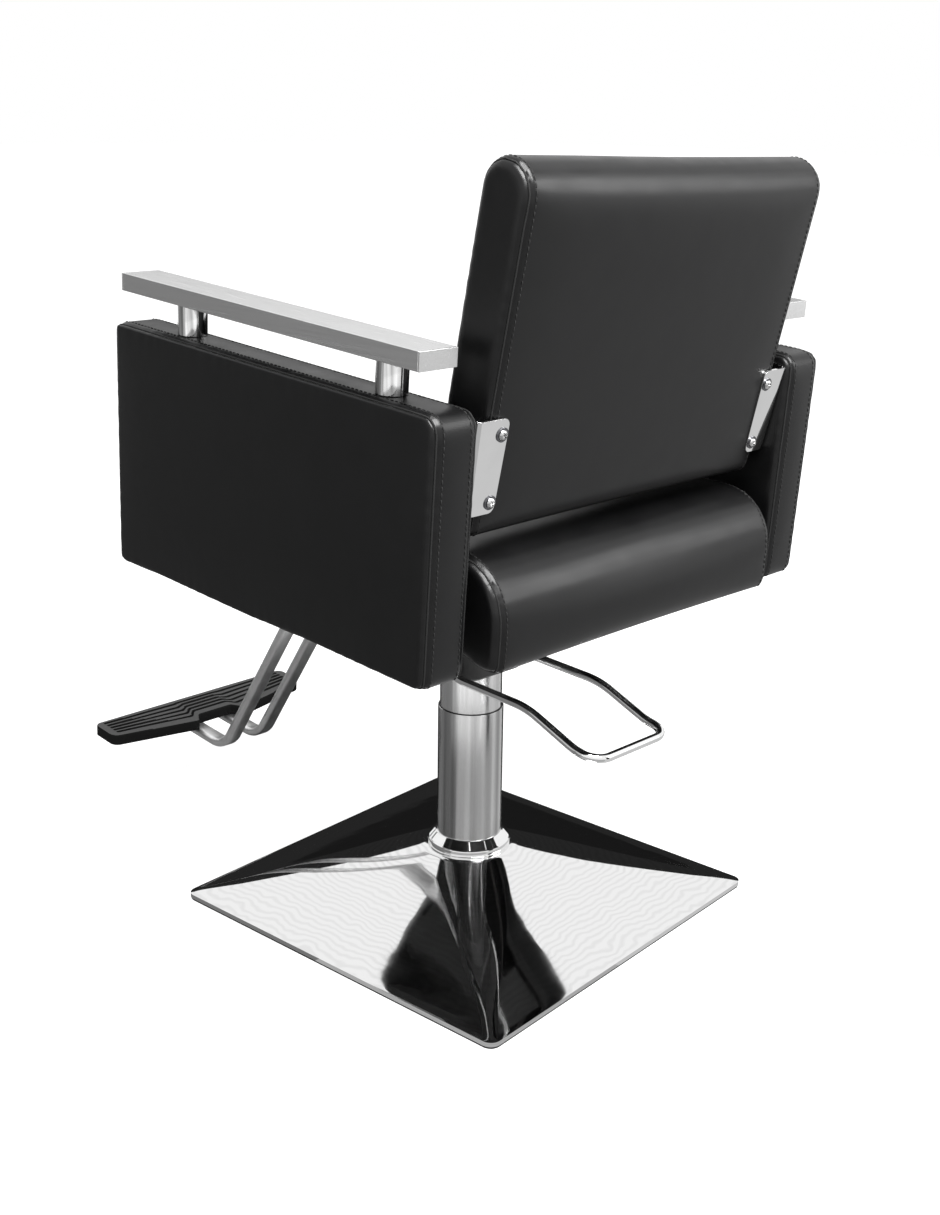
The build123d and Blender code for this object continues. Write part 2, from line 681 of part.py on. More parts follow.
def bracket_hole_shanks(radius):
    """Holes for the screws through both brackets into the back."""
    lying = Rot(90, 0, 0) * disc(radius, -5, 31.5)
    left = [Pos(BRACKET_SCREW_X, 0, z) * lying for z in BRACKET_SCREW_ZS]
    return left + [mirrored(one) for one in left]


def back_bracket():
    """Angle bracket: one flange on the back's rear face, one on the arm's inner face."""
    span = BRACKET_HIGH - BRACKET_LOW
    width = BRACKET_OUTER_X - BRACKET_INNER_X
    rear = box(BRACKET_INNER_X, BRACKET_OUTER_X, 0.1, BRACKET_T, BRACKET_LOW, BRACKET_HIGH)
    inner_corners = rear.edges().filter_by(Axis.Y).group_by(Axis.X)[0]
    rear = fillet(inner_corners, min(9, width / 4))
    side = box(BRACKET_OUTER_X - BRACKET_T, BRACKET_OUTER_X, -BRACKET_DEPTH, BRACKET_T, BRACKET_LOW,
               BRACKET_LOW + span)
    side = fillet(side.edges().filter_by(Axis.X).group_by(Axis.Y)[0], 9)
    bracket = rear + side
    for z in BRACKET_SCREW_ZS:
        bracket -= Pos(BRACKET_SCREW_X, 0, z) * Rot(90, 0, 0) * disc(3.2, -5, 5)
        bracket -= rod_along_x(3.2, BRACKET_OUTER_X - 10, BRACKET_OUTER_X + 5, -24, z)
    return reclined(bracket)


def bracket_washers():
    washer = Rot(-90, 0, 0) * ring(6.4, 3.1, BRACKET_T, BRACKET_T + 1.2)
    left = [Pos(BRACKET_SCREW_X, 0, z) * washer for z in BRACKET_SCREW_ZS]
    return reclined(group(left + [mirrored(one) for one in left]))


def bracket_screws():
    screw = Rot(-90, 0, 0) * Pos(0, 0, BRACKET_T + 1.2) * button_screw(5.4, 3.2, 3, BRACKET_T + 1.2 + 31)
    left = [Pos(BRACKET_SCREW_X, 0, z) * screw for z in BRACKET_SCREW_ZS]
    return reclined(group(left + [mirrored(one) for one in left]))


def bracket_side_screws():
    head_x = BRACKET_OUTER_X - BRACKET_T
    screw = Rot(0, -90, 0) * button_screw(5.4, 3.2, 3, arm_x() - CORE_T / 2 + 16 - head_x)
    left = [Pos(head_x, -24, z) * screw for z in BRACKET_SCREW_ZS]
    return reclined(group(left + [mirrored(one) for one in left]))


# ---------------------------------------------------------------- footrest
def footrest_tube():
    path = FilletPolyline(*[(FOOT_TUBE_X, y, z) for y, z in FOOT_PATH], radius=list(FOOT_PATH_RADII))
    section_plane = Plane(origin=path @ 0, x_dir=(1, 0, 0), z_dir=path % 0)
    tube = sweep(section_plane * SlotOverall(FOOT_TUBE_W, FOOT_TUBE_T), path=path)
    return tube - group([disc(3 + CLOSE_GAP, 380, 420, x, y) for x, y in foot_bolt_spots() if x > 0])


def foot_bolt_spots():
    return [(x, y) for x in (-FOOT_TUBE_X, FOOT_TUBE_X) for y in FOOT_BOLT_YS]


def footrest_saddle():
    """Plate between the rails that the footrest's tubes bolt up to."""
    reach = RAIL_X - RAIL_W / 2
    plate = box(-reach, reach, -228, -122, RAIL_BOTTOM_Z + 0.3, RAIL_BOTTOM_Z + SADDLE_T)
    return plate - group([disc(3 + CLOSE_GAP, 400, 430, x, y) for x, y in foot_bolt_spots()])


def footrest_bolts():
    low = FOOT_PATH[0][1] - FOOT_TUBE_T / 2
    bolt = Rot(180, 0, 0) * hex_bolt(6, 4, 3, FOOT_TUBE_T + SADDLE_T + 3)
    return group([Pos(x, y, low) * bolt for x, y in foot_bolt_spots()])


def on_tubes(shape):
    """Place a piece of the foot pad, drawn flat with z = 0 on the tubes' top."""
    (y0, z0), (y1, z1) = FOOT_PATH[2:]
    rise = math.atan2(z1 - z0, y0 - y1)
    z = z0 + math.tan(rise) * (y0 - PAD_Y) + FOOT_TUBE_T / 2 / math.cos(rise)
    return Pos(0, PAD_Y, z) * Rot(-math.degrees(rise), 0, 0) * shape


def pad_outline():
    """Foot pad seen from above: straight front, rear edge tapering to the ends with an arched notch."""
    front = -PAD_DEPTH / 2
    rear = PAD_DEPTH / 2
    right = [(42, rear), (PAD_HALF - 6, 14), (PAD_HALF, 8), (PAD_HALF, front + 8), (PAD_HALF - 10, front)]
    left = [(-x, y) for x, y in reversed(right)]
    blank = make_face(Polyline(*right, *left, close=True))
    blank = fillet(blank.vertices(), 5)
    notch = Pos(0, rear - NOTCH_DEPTH + 26) * SlotOverall(NOTCH_W, 52)
    return blank - notch


def footrest_strap():
    strap = rounded_block(230, 24, 0.1, STRAP_T, 6)
    return strap - group([Pos(x, 0, 0) * disc(2.6, -1, STRAP_T + 1) for x in pad_screw_xs()])


def pad_screw_xs():
    return (-100.0, -62.0, 62.0, 100.0)


def footrest_pad():
    pad = Pos(0, 0, 0.2) * extrude(pad_outline(), PAD_T)
    pad = fillet(pad.faces().sort_by(Axis.Z)[-1].edges(), 2.5)
    pocket = rounded_block(230.6, 24.6, -1, STRAP_T + 0.1, 6)
    holes = group([Pos(x, 0, 0) * disc(2 + CLOSE_GAP, 0, 11.1) for x in pad_screw_xs()])
    grooves = [Pos(0, y, PAD_T - 2) * extrude(Rectangle(290, 3), 3) for y in (-30, -21, -12, -3)]
    return pad - pocket - holes - group(grooves)


def pad_screws():
    screw = Rot(180, 0, 0) * button_screw(4.2, 2.6, 2, 11)
    return group([Pos(x, 0, 0) * screw for x in pad_screw_xs()])


# ---------------------------------------------------------------- the whole chair
def paired(name, shape):
    return {name + "_left": shape, name + "_right": mirrored(shape)}


def all_nodes():
    nodes = {
        "base_mat": base_mat(), "base_plate": base_plate(), "base_cover": base_cover(),
        "base_collar": base_collar(), "tube_flange": tube_flange(), "flange_bolts": flange_bolts(),
        "column_tube": column_tube(), "column_guide_bush": column_guide_bush(),
        "thrust_race_lower": thrust_race_lower(), "thrust_balls": thrust_balls(),
        "thrust_cage": thrust_cage(), "thrust_race_upper": thrust_race_upper(), "ram_rod": ram_rod(),
        "ram_piston": ram_piston(), "piston_seal": piston_seal(), "ram_nut": ram_nut(),
        "lifter_tube": lifter_tube(), "lifter_gland": lifter_gland(), "rod_seal": rod_seal(),
        "pressure_tube": pressure_tube(), "pump_head": pump_head(), "plunger_barrel": plunger_barrel(),
        "pump_plunger": pump_plunger(), "plunger_spring": plunger_spring(),
        "pedal_shaft": pedal_shaft(), "pedal_hubs": pedal_hubs(), "hub_screws": hub_screws(),
        "pedal_loop": pedal_loop(), "mount_plate": mount_plate(), "head_bolts": head_bolts(),
        "frame_webs": frame_webs(),
    }
    level = {
        "frame_rails": frame_rails(), "cross_bars": group([cross_bar(y) for y in CROSS_BAR_YS]),
        "board_screws": board_screws(), "seat_board": seat_board(), "seat_cushion": seat_cushion(),
        "arm_bolts": arm_bolts(), "arm_posts": arm_posts(), "post_studs": post_studs(),
        "bar_end_caps": bar_end_caps(), "back_board": back_board(), "back_cushion": back_cushion(),
        "bracket_washers": bracket_washers(), "bracket_screws": bracket_screws(),
        "bracket_side_screws": bracket_side_screws(), "footrest_saddle": footrest_saddle(),
        "footrest_bolts": footrest_bolts(), "footrest_strap": on_tubes(footrest_strap()),
        "footrest_pad": on_tubes(footrest_pad()),
        "pad_screws": on_tubes(pad_screws()),
    }
    level.update(paired("arm_core", arm_core()))
    level.update(paired("arm_panel", arm_panel()))
    level.update(paired("arm_bar", arm_bar()))
    level.update(paired("back_bracket", back_bracket()))
    level.update(paired("footrest_tube", footrest_tube()))
    nodes.update({name: leaned(shape) for name, shape in level.items()})
    return nodes


os.makedirs("parts", exist_ok=True)
for node, solid in all_nodes().items():
    export_step(solid, f"parts/{node}.step")
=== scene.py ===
"""Looks of a foot-pumped styling chair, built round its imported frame.

Metres, +Z up, origin on the column's axis at floor level. The sitter faces -Y and has +X on the
left. The seat unit is drawn level and then leaned back about a point on the column's axis; the back
is drawn upright on its own lower rear edge, reclined, and then leaned with the rest.
"""
import logging
import math
from dataclasses import dataclass, field
from enum import Enum
from typing import Callable, Iterable, Sequence

import bmesh
import bpy
from mathutils import Matrix, Quaternion, Vector
from mathutils.bvhtree import BVHTree
from mathutils.kdtree import KDTree


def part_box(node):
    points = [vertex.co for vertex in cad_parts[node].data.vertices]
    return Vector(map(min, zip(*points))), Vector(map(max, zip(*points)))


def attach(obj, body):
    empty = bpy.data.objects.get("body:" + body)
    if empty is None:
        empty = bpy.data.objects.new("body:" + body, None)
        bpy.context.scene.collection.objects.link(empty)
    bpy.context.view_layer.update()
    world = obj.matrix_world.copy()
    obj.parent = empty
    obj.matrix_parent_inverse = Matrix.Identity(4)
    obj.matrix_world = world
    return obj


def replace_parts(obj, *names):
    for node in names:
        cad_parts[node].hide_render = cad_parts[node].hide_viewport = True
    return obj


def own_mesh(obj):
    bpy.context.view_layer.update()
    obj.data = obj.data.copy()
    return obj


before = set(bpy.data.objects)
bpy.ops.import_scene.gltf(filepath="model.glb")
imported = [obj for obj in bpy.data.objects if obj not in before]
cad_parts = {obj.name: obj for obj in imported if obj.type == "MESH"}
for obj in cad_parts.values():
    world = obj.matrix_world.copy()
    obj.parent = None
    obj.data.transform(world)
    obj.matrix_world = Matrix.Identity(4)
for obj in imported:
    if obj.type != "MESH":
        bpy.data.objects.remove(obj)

log = logging.getLogger("styling_chair")
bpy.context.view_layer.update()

Ring = list[Vector]
Place = Callable[[Vector], Vector]
Point2 = tuple[float, float]
Triple = tuple[float, float, float]
Skin = tuple[list[Vector], list[list[int]]]
Run = list[tuple[Vector, Vector]]


# ---------------------------------------------------------------- where things sit
class Side(Enum):
    """Side of the chair, with the sign of its x."""

    LEFT = 1
    RIGHT = -1

    @property
    def label(self) -> str:
        """The side as it stands at the end of a piece's name."""
        return self.name.lower()


SEAT_LEAN = math.radians(3.6)
LEAN_PIVOT = Vector((0.0, 0.0, 0.400))
BACK_RECLINE = math.radians(8.8)
BACK_EDGE = Vector((0.0, 0.2125, 0.560))


def leaned(point: Vector) -> Vector:
    """Takes a point of the level seat unit to where the leaned seat has it.

    Args:
        point: Place on the level seat unit.

    Returns:
        The same place on the chair.
    """
    return Matrix.Rotation(-SEAT_LEAN, 3, "X") @ (point - LEAN_PIVOT) + LEAN_PIVOT


def reclined(point: Vector) -> Vector:
    """Takes a point of the upright back to its place on the chair.

    Args:
        point: Place on the upright back, from its lower rear edge.

    Returns:
        The same place on the chair.
    """
    return leaned(Matrix.Rotation(-BACK_RECLINE, 3, "X") @ point + BACK_EDGE)


def upright(point: Vector) -> Vector:
    """Leaves a point of the base or column where it is."""
    return point


# ---------------------------------------------------------------- mesh shop
def smooth_step(t: float) -> float:
    """Eases a share from 0 to 1 with level ends."""
    t = min(1.0, max(0.0, t))
    return t * t * (3 - 2 * t)


def make_piece(name: str, verts: Iterable[Vector], faces: Iterable[Sequence[int]],
               finish: bpy.types.Material, sharp_deg: float = 35.0) -> bpy.types.Object:
    """Makes a closed, outward-facing piece at the origin.

    Args:
        name: Name of the piece.
        verts: Its points, in place on the chair.
        faces: Indices of the points round each face.
        finish: Material of the whole piece.
        sharp_deg: Angle past which an edge is shaded as a crease.

    Returns:
        The new object.
    """
    mesh = bpy.data.meshes.new(name)
    mesh.from_pydata([tuple(v) for v in verts], [], [tuple(f) for f in faces])
    shape = bmesh.new()
    shape.from_mesh(mesh)
    bmesh.ops.remove_doubles(shape, verts=shape.verts, dist=1e-6)
    bmesh.ops.recalc_face_normals(shape, faces=shape.faces)
    shape.to_mesh(mesh)
    shape.free()
    mesh.materials.append(finish)
    mesh.polygons.foreach_set("use_smooth", [True] * len(mesh.polygons))
    mesh.set_sharp_from_angle(angle=math.radians(sharp_deg))
    piece = bpy.data.objects.new(name, mesh)
    bpy.context.scene.collection.objects.link(piece)
    return piece


def skin(rings: Sequence[Ring], capped: bool = True, looped: bool = False) -> Skin:
    """Joins rings of equal length into a skin.

    Args:
        rings: Closed rings, in order.
        capped: Whether the first and last ring are filled.
        looped: Whether the last ring joins the first again.

    Returns:
        The points and the faces.
    """
    count = len(rings[0])
    verts = [point for ring in rings for point in ring]
    faces = []
    for r in range(len(rings) if looped else len(rings) - 1):
        a = r * count
        b = (r + 1) % len(rings) * count
        for i in range(count):
            j = (i + 1) % count
            faces.append([a + i, a + j, b + j, b + i])
    if capped and not looped:
        faces.append(list(range(count))[::-1])
        faces.append([len(verts) - count + i for i in range(count)])
    return verts, faces


def rounded_outline(corners: Sequence[Triple], steps: int = 8,
                    pitch: float = 0.012) -> list[Point2]:
    """Rounds a polygon's corners and spaces points along its sides.

    Args:
        corners: (u, v, radius) of each corner, in order.
        steps: Points on each rounding, less one.
        pitch: Longest distance between points on a side.

    Returns:
        The (u, v) points of the closed outline.
    """
    arcs = []
    for i, (u, v, radius) in enumerate(corners):
        here = Vector((u, v))
        before = (Vector(corners[i - 1][:2]) - here).normalized()
        after = (Vector(corners[(i + 1) % len(corners)][:2]) - here).normalized()
        half = before.angle(after) / 2
        reach = radius / math.tan(half)
        centre = here + (before + after).normalized() * (radius / math.sin(half))
        start = here + before * reach - centre
        end = here + after * reach - centre
        turn = start.angle_signed(end) if radius > 0 else 0.0
        arcs.append([centre + Matrix.Rotation(-turn * k / steps, 2) @ start for k in range(steps + 1)])
    points = []
    for i, arc in enumerate(arcs):
        following = arcs[(i + 1) % len(arcs)][0]
        points += arc
        gap = (following - arc[-1]).length
        cuts = max(1, math.ceil(gap / pitch))
        points += [arc[-1].lerp(following, k / cuts) for k in range(1, cuts)]
    return [(p.x, p.y) for p in points]


def inset_outline(outline: Sequence[Point2], depth: float) -> list[Point2]:
    """Draws an outline in along its own normals.

    Args:
        outline: Closed (u, v) points.
        depth: How far each point moves in.

    Returns:
        The moved points.
    """
    area = sum(a[0] * b[1] - b[0] * a[1] for a, b in zip(outline, [*outline[1:], outline[0]]))
    sign = 1.0 if area > 0 else -1.0
    moved = []
    for i, (u, v) in enumerate(outline):
        along = Vector(outline[(i + 1) % len(outline)]) - Vector(outline[i - 1])
        along.normalize()
        moved.append((u - sign * along.y * depth, v + sign * along.x * depth))
    return moved


def bent_path(points: Sequence[Vector], radii: Sequence[float], steps: int = 10,
              pitch: float = 0.02) -> list[Vector]:
    """Rounds the inner corners of an open run of points.

    Args:
        points: The run's ends and corners.
        radii: Bend radius at each corner between the ends.
        steps: Points on each bend, less one.
        pitch: Longest distance between points on a straight.

    Returns:
        The points along the bent line.
    """
    line = [points[0]]
    for i, radius in enumerate(radii, start=1):
        here = points[i]
        before = (points[i - 1] - here).normalized()
        after = (points[i + 1] - here).normalized()
        half = before.angle(after) / 2
        centre = here + (before + after).normalized() * (radius / math.sin(half))
        start = here + before * (radius / math.tan(half)) - centre
        end = here + after * (radius / math.tan(half)) - centre
        turn = start.rotation_difference(end)
        arc = [centre + Quaternion().slerp(turn, k / steps) @ start for k in range(steps + 1)]
        line += _straight(line[-1], arc[0], pitch) + arc
    return line + _straight(line[-1], points[-1], pitch) + [points[-1]]


def _straight(a: Vector, b: Vector, pitch: float) -> list[Vector]:
    """Points strictly between two ends, no further apart than the pitch."""
    cuts = max(1, math.ceil((b - a).length / pitch))
    return [a.lerp(b, k / cuts) for k in range(1, cuts)]


def sweep(line: Sequence[Vector], section: Sequence[Point2], across: Vector,
          closed: bool = False) -> Skin:
    """Carries a section along a line.

    Args:
        line: Points along the line.
        section: (u, v) points; u starts along `across`.
        across: Direction of u at the line's start.
        closed: Whether the line joins its own start.

    Returns:
        The points and the faces.
    """
    rings = []
    u_dir = across.normalized()
    for i, point in enumerate(line):
        before = line[i - 1] if i or closed else line[0]
        after = line[(i + 1) % len(line)] if i < len(line) - 1 or closed else line[-1]
        along = (after - before).normalized()
        u_dir = (u_dir - along * u_dir.dot(along)).normalized()
        v_dir = along.cross(u_dir)
        rings.append([point + u_dir * u + v_dir * v for u, v in section])
    return skin(rings, capped=not closed, looped=closed)


def circle(radius: float, count: int) -> list[Point2]:
    """The points of a round section."""
    return [(radius * math.cos(math.tau * k / count), radius * math.sin(math.tau * k / count))
            for k in range(count)]


def lathe(profile: Sequence[Point2], count: int = 96, place: Place = upright,
          centre: Vector = Vector()) -> Skin:
    """Turns a closed (radius, height) profile about an upright axis.

    Args:
        profile: The wall's closed section, none of it on the axis.
        count: Points round each ring.
        place: Takes a drawn point to its place.
        centre: Foot of the axis.

    Returns:
        The points and the faces.
    """
    rings = []
    for radius, height in profile:
        rings.append([place(centre + Vector((x, y, height))) for x, y in circle(radius, count)])
    return skin(rings, looped=True)


def tube_wall(outer: float, inner: float, low: float, high: float, edge: float = 0.0008) -> list[Point2]:
    """The closed section of a tube's wall, with its mouth's edges rounded.

    Args:
        outer: Outer radius.
        inner: Bore radius.
        low: Height of its foot.
        high: Height of its mouth.
        edge: Rounding of the mouth.

    Returns:
        The (radius, height) points.
    """
    shoulder = edge * 0.3
    return [(outer, low), (outer, high - edge), (outer - shoulder, high - shoulder),
            (outer - edge, high), (inner + edge, high), (inner + shoulder, high - shoulder),
            (inner, high - edge), (inner, low)]


def bevelled(piece: bpy.types.Object, width: float, segments: int = 3) -> bpy.types.Object:
    """Breaks a hard piece's sharp edges and settles it.

    Args:
        piece: The piece.
        width: Width of the broken edge.
        segments: Faces across it.

    Returns:
        The same piece.
    """
    bevel = piece.modifiers.new("edges", "BEVEL")
    bevel.width = width
    bevel.segments = segments
    bevel.limit_method = "ANGLE"
    bevel.angle_limit = math.radians(40)
    bevel.harden_normals = True
    settle(piece)
    return piece


def settle(piece: bpy.types.Object) -> None:
    """Applies every modifier on a piece to its mesh.

    Args:
        piece: The piece.
    """
    depsgraph = bpy.context.evaluated_depsgraph_get()
    mesh = bpy.data.meshes.new_from_object(piece.evaluated_get(depsgraph))
    mesh.name = piece.name
    piece.modifiers.clear()
    piece.data = mesh


def merged(parts: Iterable[Skin]) -> Skin:
    """Joins several skins into one.

    Args:
        parts: The points and faces of each.

    Returns:
        The points and faces of all of them.
    """
    verts: list[Vector] = []
    faces: list[list[int]] = []
    for more, skins in parts:
        faces += [[i + len(verts) for i in f] for f in skins]
        verts += more
    return verts, faces


def fit(piece: bpy.types.Object, node: str, body: str = "seat") -> None:
    """Sets a finished piece on its body in place of a CAD node, and reports it.

    Args:
        piece: The finished piece.
        node: The CAD node that it is shown for.
        body: The body that carries it.
    """
    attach(piece, body)
    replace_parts(piece, node)
    log.info("%s: %d faces", piece.name, len(piece.data.polygons))


# ---------------------------------------------------------------- finishes
class Nodes:
    """A material's node tree, with short ways to add and join nodes."""

    def __init__(self, name: str) -> None:
        """Starts a material with its shader.

        Args:
            name: Name of the material.
        """
        self.material = bpy.data.materials.new(name)
        self.material.use_nodes = True
        self.tree = self.material.node_tree
        self.shader = self.tree.nodes["Principled BSDF"]
        self.place = self.tree.nodes.new("ShaderNodeTexCoord").outputs["Object"]

    def join(self, source: bpy.types.NodeSocket, target: bpy.types.NodeSocket) -> None:
        """Links an output to an input."""
        self.tree.links.new(source, target)

    def stretched(self, scale: Triple) -> bpy.types.NodeSocket:
        """The object's own coordinates, scaled apart along each axis.

        Args:
            scale: Scale along each axis.

        Returns:
            The scaled coordinates.
        """
        mapping = self.tree.nodes.new("ShaderNodeMapping")
        mapping.inputs["Scale"].default_value = scale
        self.join(self.place, mapping.inputs["Vector"])
        return mapping.outputs["Vector"]

    def noise(self, scale: float, detail: float = 3.0,
              stretch: Triple = (1, 1, 1)) -> bpy.types.NodeSocket:
        """A noise value over the piece.

        Args:
            scale: Noise cells to the metre.
            detail: How many finer layers it holds.
            stretch: Scale along each axis before the noise.

        Returns:
            The value.
        """
        node = self.tree.nodes.new("ShaderNodeTexNoise")
        node.inputs["Scale"].default_value = scale
        node.inputs["Detail"].default_value = detail
        self.join(self.stretched(stretch), node.inputs["Vector"])
        return node.outputs["Fac"]

    def cells(self, scale: float) -> bpy.types.NodeSocket:
        """Distance to the nearest cell centre, as in leather grain.

        Args:
            scale: Cells to the metre.

        Returns:
            The distance.
        """
        node = self.tree.nodes.new("ShaderNodeTexVoronoi")
        node.inputs["Scale"].default_value = scale
        self.join(self.place, node.inputs["Vector"])
        return node.outputs["Distance"]

    def spread(self, value: bpy.types.NodeSocket, low: float, high: float,
               start: float = 0.3, end: float = 0.7) -> bpy.types.NodeSocket:
        """A value taken from one range to another.

        Args:
            value: The value.
            low: What the start becomes.
            high: What the end becomes.
            start: Low end of the value's own range.
            end: High end of it.

        Returns:
            The new value.
        """
        node = self.tree.nodes.new("ShaderNodeMapRange")
        node.inputs["From Min"].default_value = start
        node.inputs["From Max"].default_value = end
        node.inputs["To Min"].default_value = low
        node.inputs["To Max"].default_value = high
        self.join(value, node.inputs["Value"])
        return node.outputs["Result"]

    def tint(self, value: bpy.types.NodeSocket, dark: Sequence[float], light: Sequence[float]) -> None:
        """Sets the shader's colour between two colours by a value.

        Args:
            value: Share of the light colour.
            dark: Colour where the value is 0.
            light: Colour where it is 1.
        """
        node = self.tree.nodes.new("ShaderNodeMix")
        node.data_type = "RGBA"
        node.inputs[6].default_value = (*dark, 1)
        node.inputs[7].default_value = (*light, 1)
        self.join(value, node.inputs[0])
        self.join(node.outputs[2], self.shader.inputs["Base Color"])

    def relief(self, value: bpy.types.NodeSocket, strength: float, depth: float,
               under: bpy.types.NodeSocket | None = None) -> bpy.types.NodeSocket:
        """A bump over an optional coarser one; the last made is the shader's normal.

        Args:
            value: Height of the surface.
            strength: Share of the bump that shows.
            depth: Height that a value of 1 stands for.
            under: The coarser bump.

        Returns:
            The bumped normal.
        """
        node = self.tree.nodes.new("ShaderNodeBump")
        node.inputs["Strength"].default_value = strength
        node.inputs["Distance"].default_value = depth
        self.join(value, node.inputs["Height"])
        if under is not None:
            self.join(under, node.inputs["Normal"])
        self.join(node.outputs["Normal"], self.shader.inputs["Normal"])
        return node.outputs["Normal"]


@dataclass(frozen=True)
class Leather:
    """Smooth coated upholstery leather with a fine pebble."""

    name: str = "black_upholstery"
    dark: Triple = (0.0016, 0.0016, 0.0017)
    light: Triple = (0.0030, 0.0030, 0.0032)
    mottle: float = 9.0
    smooth: float = 0.30
    rubbed: float = 0.38
    rub_scale: float = 26.0
    drape_scale: float = 16.0
    drape_depth: float = 0.004
    pebble: float = 900.0
    pebble_depth: float = 0.0002
    relief: float = 0.10
    shine: float = 0.36

    def build(self) -> bpy.types.Material:
        """Makes the material.

        Returns:
            The material.
        """
        nodes = Nodes(self.name)
        nodes.tint(nodes.noise(self.mottle, 4.0), self.dark, self.light)
        nodes.join(nodes.spread(nodes.noise(self.rub_scale, 5.0), self.smooth, self.rubbed),
                   nodes.shader.inputs["Roughness"])
        drape = nodes.relief(nodes.noise(self.drape_scale, 2.0), self.relief, self.drape_depth)
        nodes.relief(nodes.cells(self.pebble), self.relief, self.pebble_depth, drape)
        nodes.shader.inputs["Specular IOR Level"].default_value = self.shine
        return nodes.material


@dataclass(frozen=True)
class Metal:
    """A bare or plated metal, drawn or polished in one direction.

    Attributes:
        name: The record's slot, or the name of the finish.
        colour: Colour of the bright parts.
        smooth: Roughness of the smoothest parts.
        rough: Roughness of the roughest.
        grain: Scale of the marks.
        stretch: Scale of the marks along each axis; a small share draws them out.
        ripple: Strength of the plating's gentle waves.
        scratch: Strength of the marks' relief.
        streak: Scale of the colour's own streaks, where it has them.
        depth: Share of the colour left in the dark parts.
    """

    name: str
    colour: Triple
    smooth: float
    rough: float
    grain: float = 60.0
    stretch: Triple = (1, 1, 1)
    ripple: float = 0.0
    scratch: float = 0.0
    streak: float = 0.0
    depth: float = 0.9
    wave_scale: float = 22.0
    wave_depth: float = 0.002
    scratch_depth: float = 0.0002

    def build(self) -> bpy.types.Material:
        """Makes the material.

        Returns:
            The material.
        """
        nodes = Nodes(self.name)
        nodes.shader.inputs["Metallic"].default_value = 1.0
        dark = tuple(self.depth * c for c in self.colour)
        marks = nodes.noise(self.grain, 5.0, self.stretch)
        tone = nodes.noise(self.streak, 2.0, self.stretch) if self.streak else marks
        nodes.tint(nodes.spread(tone, 0.0, 1.0, 0.35, 0.65), dark, self.colour)
        nodes.join(nodes.spread(marks, self.smooth, self.rough), nodes.shader.inputs["Roughness"])
        under = None
        if self.ripple:
            under = nodes.relief(nodes.noise(self.wave_scale, 1.0), self.ripple, self.wave_depth)
        if self.scratch:
            nodes.relief(marks, self.scratch, self.scratch_depth, under)
        return nodes.material


@dataclass(frozen=True)
class PressedChrome:
    """Chrome over a large pressing, with faint wavy darker bands painted into its colour: a painted
    reflection of the stripes that its waves show.

    Attributes:
        name: Name of the finish.
        colour: Grey between the painted reflection stripes.
        mark: Grey of the painted reflection stripes.
        mark_end: Share of the wave at which a painted stripe has faded out.
        pitch: Scale of the painted stripes; they lie closer as it grows.
        sway: How far they wander.
        sway_scale: Scale of that wandering.
        smooth: Roughness of the smoothest parts.
        rough: Roughness of the roughest.
        haze_scale: Scale of the change between them.
        wave_scale: Scale of the plating's gentle waves.
        wave_depth: Height of the waves.
        ripple: Strength of the waves.
    """

    name: str = "pressed_chrome"
    colour: float = 0.86
    mark: float = 0.78
    mark_end: float = 0.7
    pitch: float = 130.0
    sway: float = 12.0
    sway_scale: float = 0.16
    smooth: float = 0.02
    rough: float = 0.06
    haze_scale: float = 30.0
    wave_scale: float = 22.0
    wave_depth: float = 0.002
    ripple: float = 0.07

    def build(self) -> bpy.types.Material:
        """Makes the material.

        Returns:
            The material.
        """
        nodes = Nodes(self.name)
        nodes.shader.inputs["Metallic"].default_value = 1.0
        wave = nodes.tree.nodes.new("ShaderNodeTexWave")
        wave.bands_direction = "Z"
        wave.inputs["Scale"].default_value = self.pitch
        wave.inputs["Distortion"].default_value = self.sway
        wave.inputs["Detail"].default_value = 2.0
        wave.inputs["Detail Scale"].default_value = self.sway_scale
        nodes.join(nodes.place, wave.inputs["Vector"])
        # The wave's bands are a painted reflection: darker stripes in the chrome's colour.
        marks = nodes.spread(wave.outputs["Fac"], 0.0, 1.0, 0.0, self.mark_end)
        nodes.tint(marks, grey(self.mark), grey(self.colour))
        nodes.join(nodes.spread(nodes.noise(self.haze_scale), self.smooth, self.rough),
                   nodes.shader.inputs["Roughness"])
        nodes.relief(nodes.noise(self.wave_scale, 1.0), self.ripple, self.wave_depth)
        return nodes.material


@dataclass(frozen=True)
class Moulded:
    """Paint, rubber, plastic or wood: a body colour with its own mottle and texture.

    Attributes:
        name: The record's slot, or the name of the finish.
        dark: Darkest body colour.
        light: Lightest body colour.
        smooth: Roughness of the smoothest parts.
        rough: Roughness of the roughest.
        grain: Scale of the texture.
        stretch: Scale of the texture along each axis.
        depth: Height of the texture.
        relief: Share of that height that shows.
        haze_scale: Scale of the change in roughness.
        shine: Strength of the gloss.
    """

    name: str
    dark: Triple
    light: Triple
    smooth: float
    rough: float
    grain: float = 400.0
    stretch: Triple = (1, 1, 1)
    depth: float = 0.0002
    relief: float = 0.25
    haze_scale: float = 40.0
    shine: float = 0.5

    def build(self) -> bpy.types.Material:
        """Makes the material.

        Returns:
            The material.
        """
        nodes = Nodes(self.name)
        grain = nodes.noise(self.grain, 4.0, self.stretch)
        nodes.tint(grain, self.dark, self.light)
        nodes.join(nodes.spread(nodes.noise(self.haze_scale), self.smooth, self.rough),
                   nodes.shader.inputs["Roughness"])
        nodes.relief(grain, self.relief, self.depth)
        nodes.shader.inputs["Specular IOR Level"].default_value = self.shine
        return nodes.material


def grey(value: float) -> Triple:
    """A neutral colour."""
    return (value, value, value)


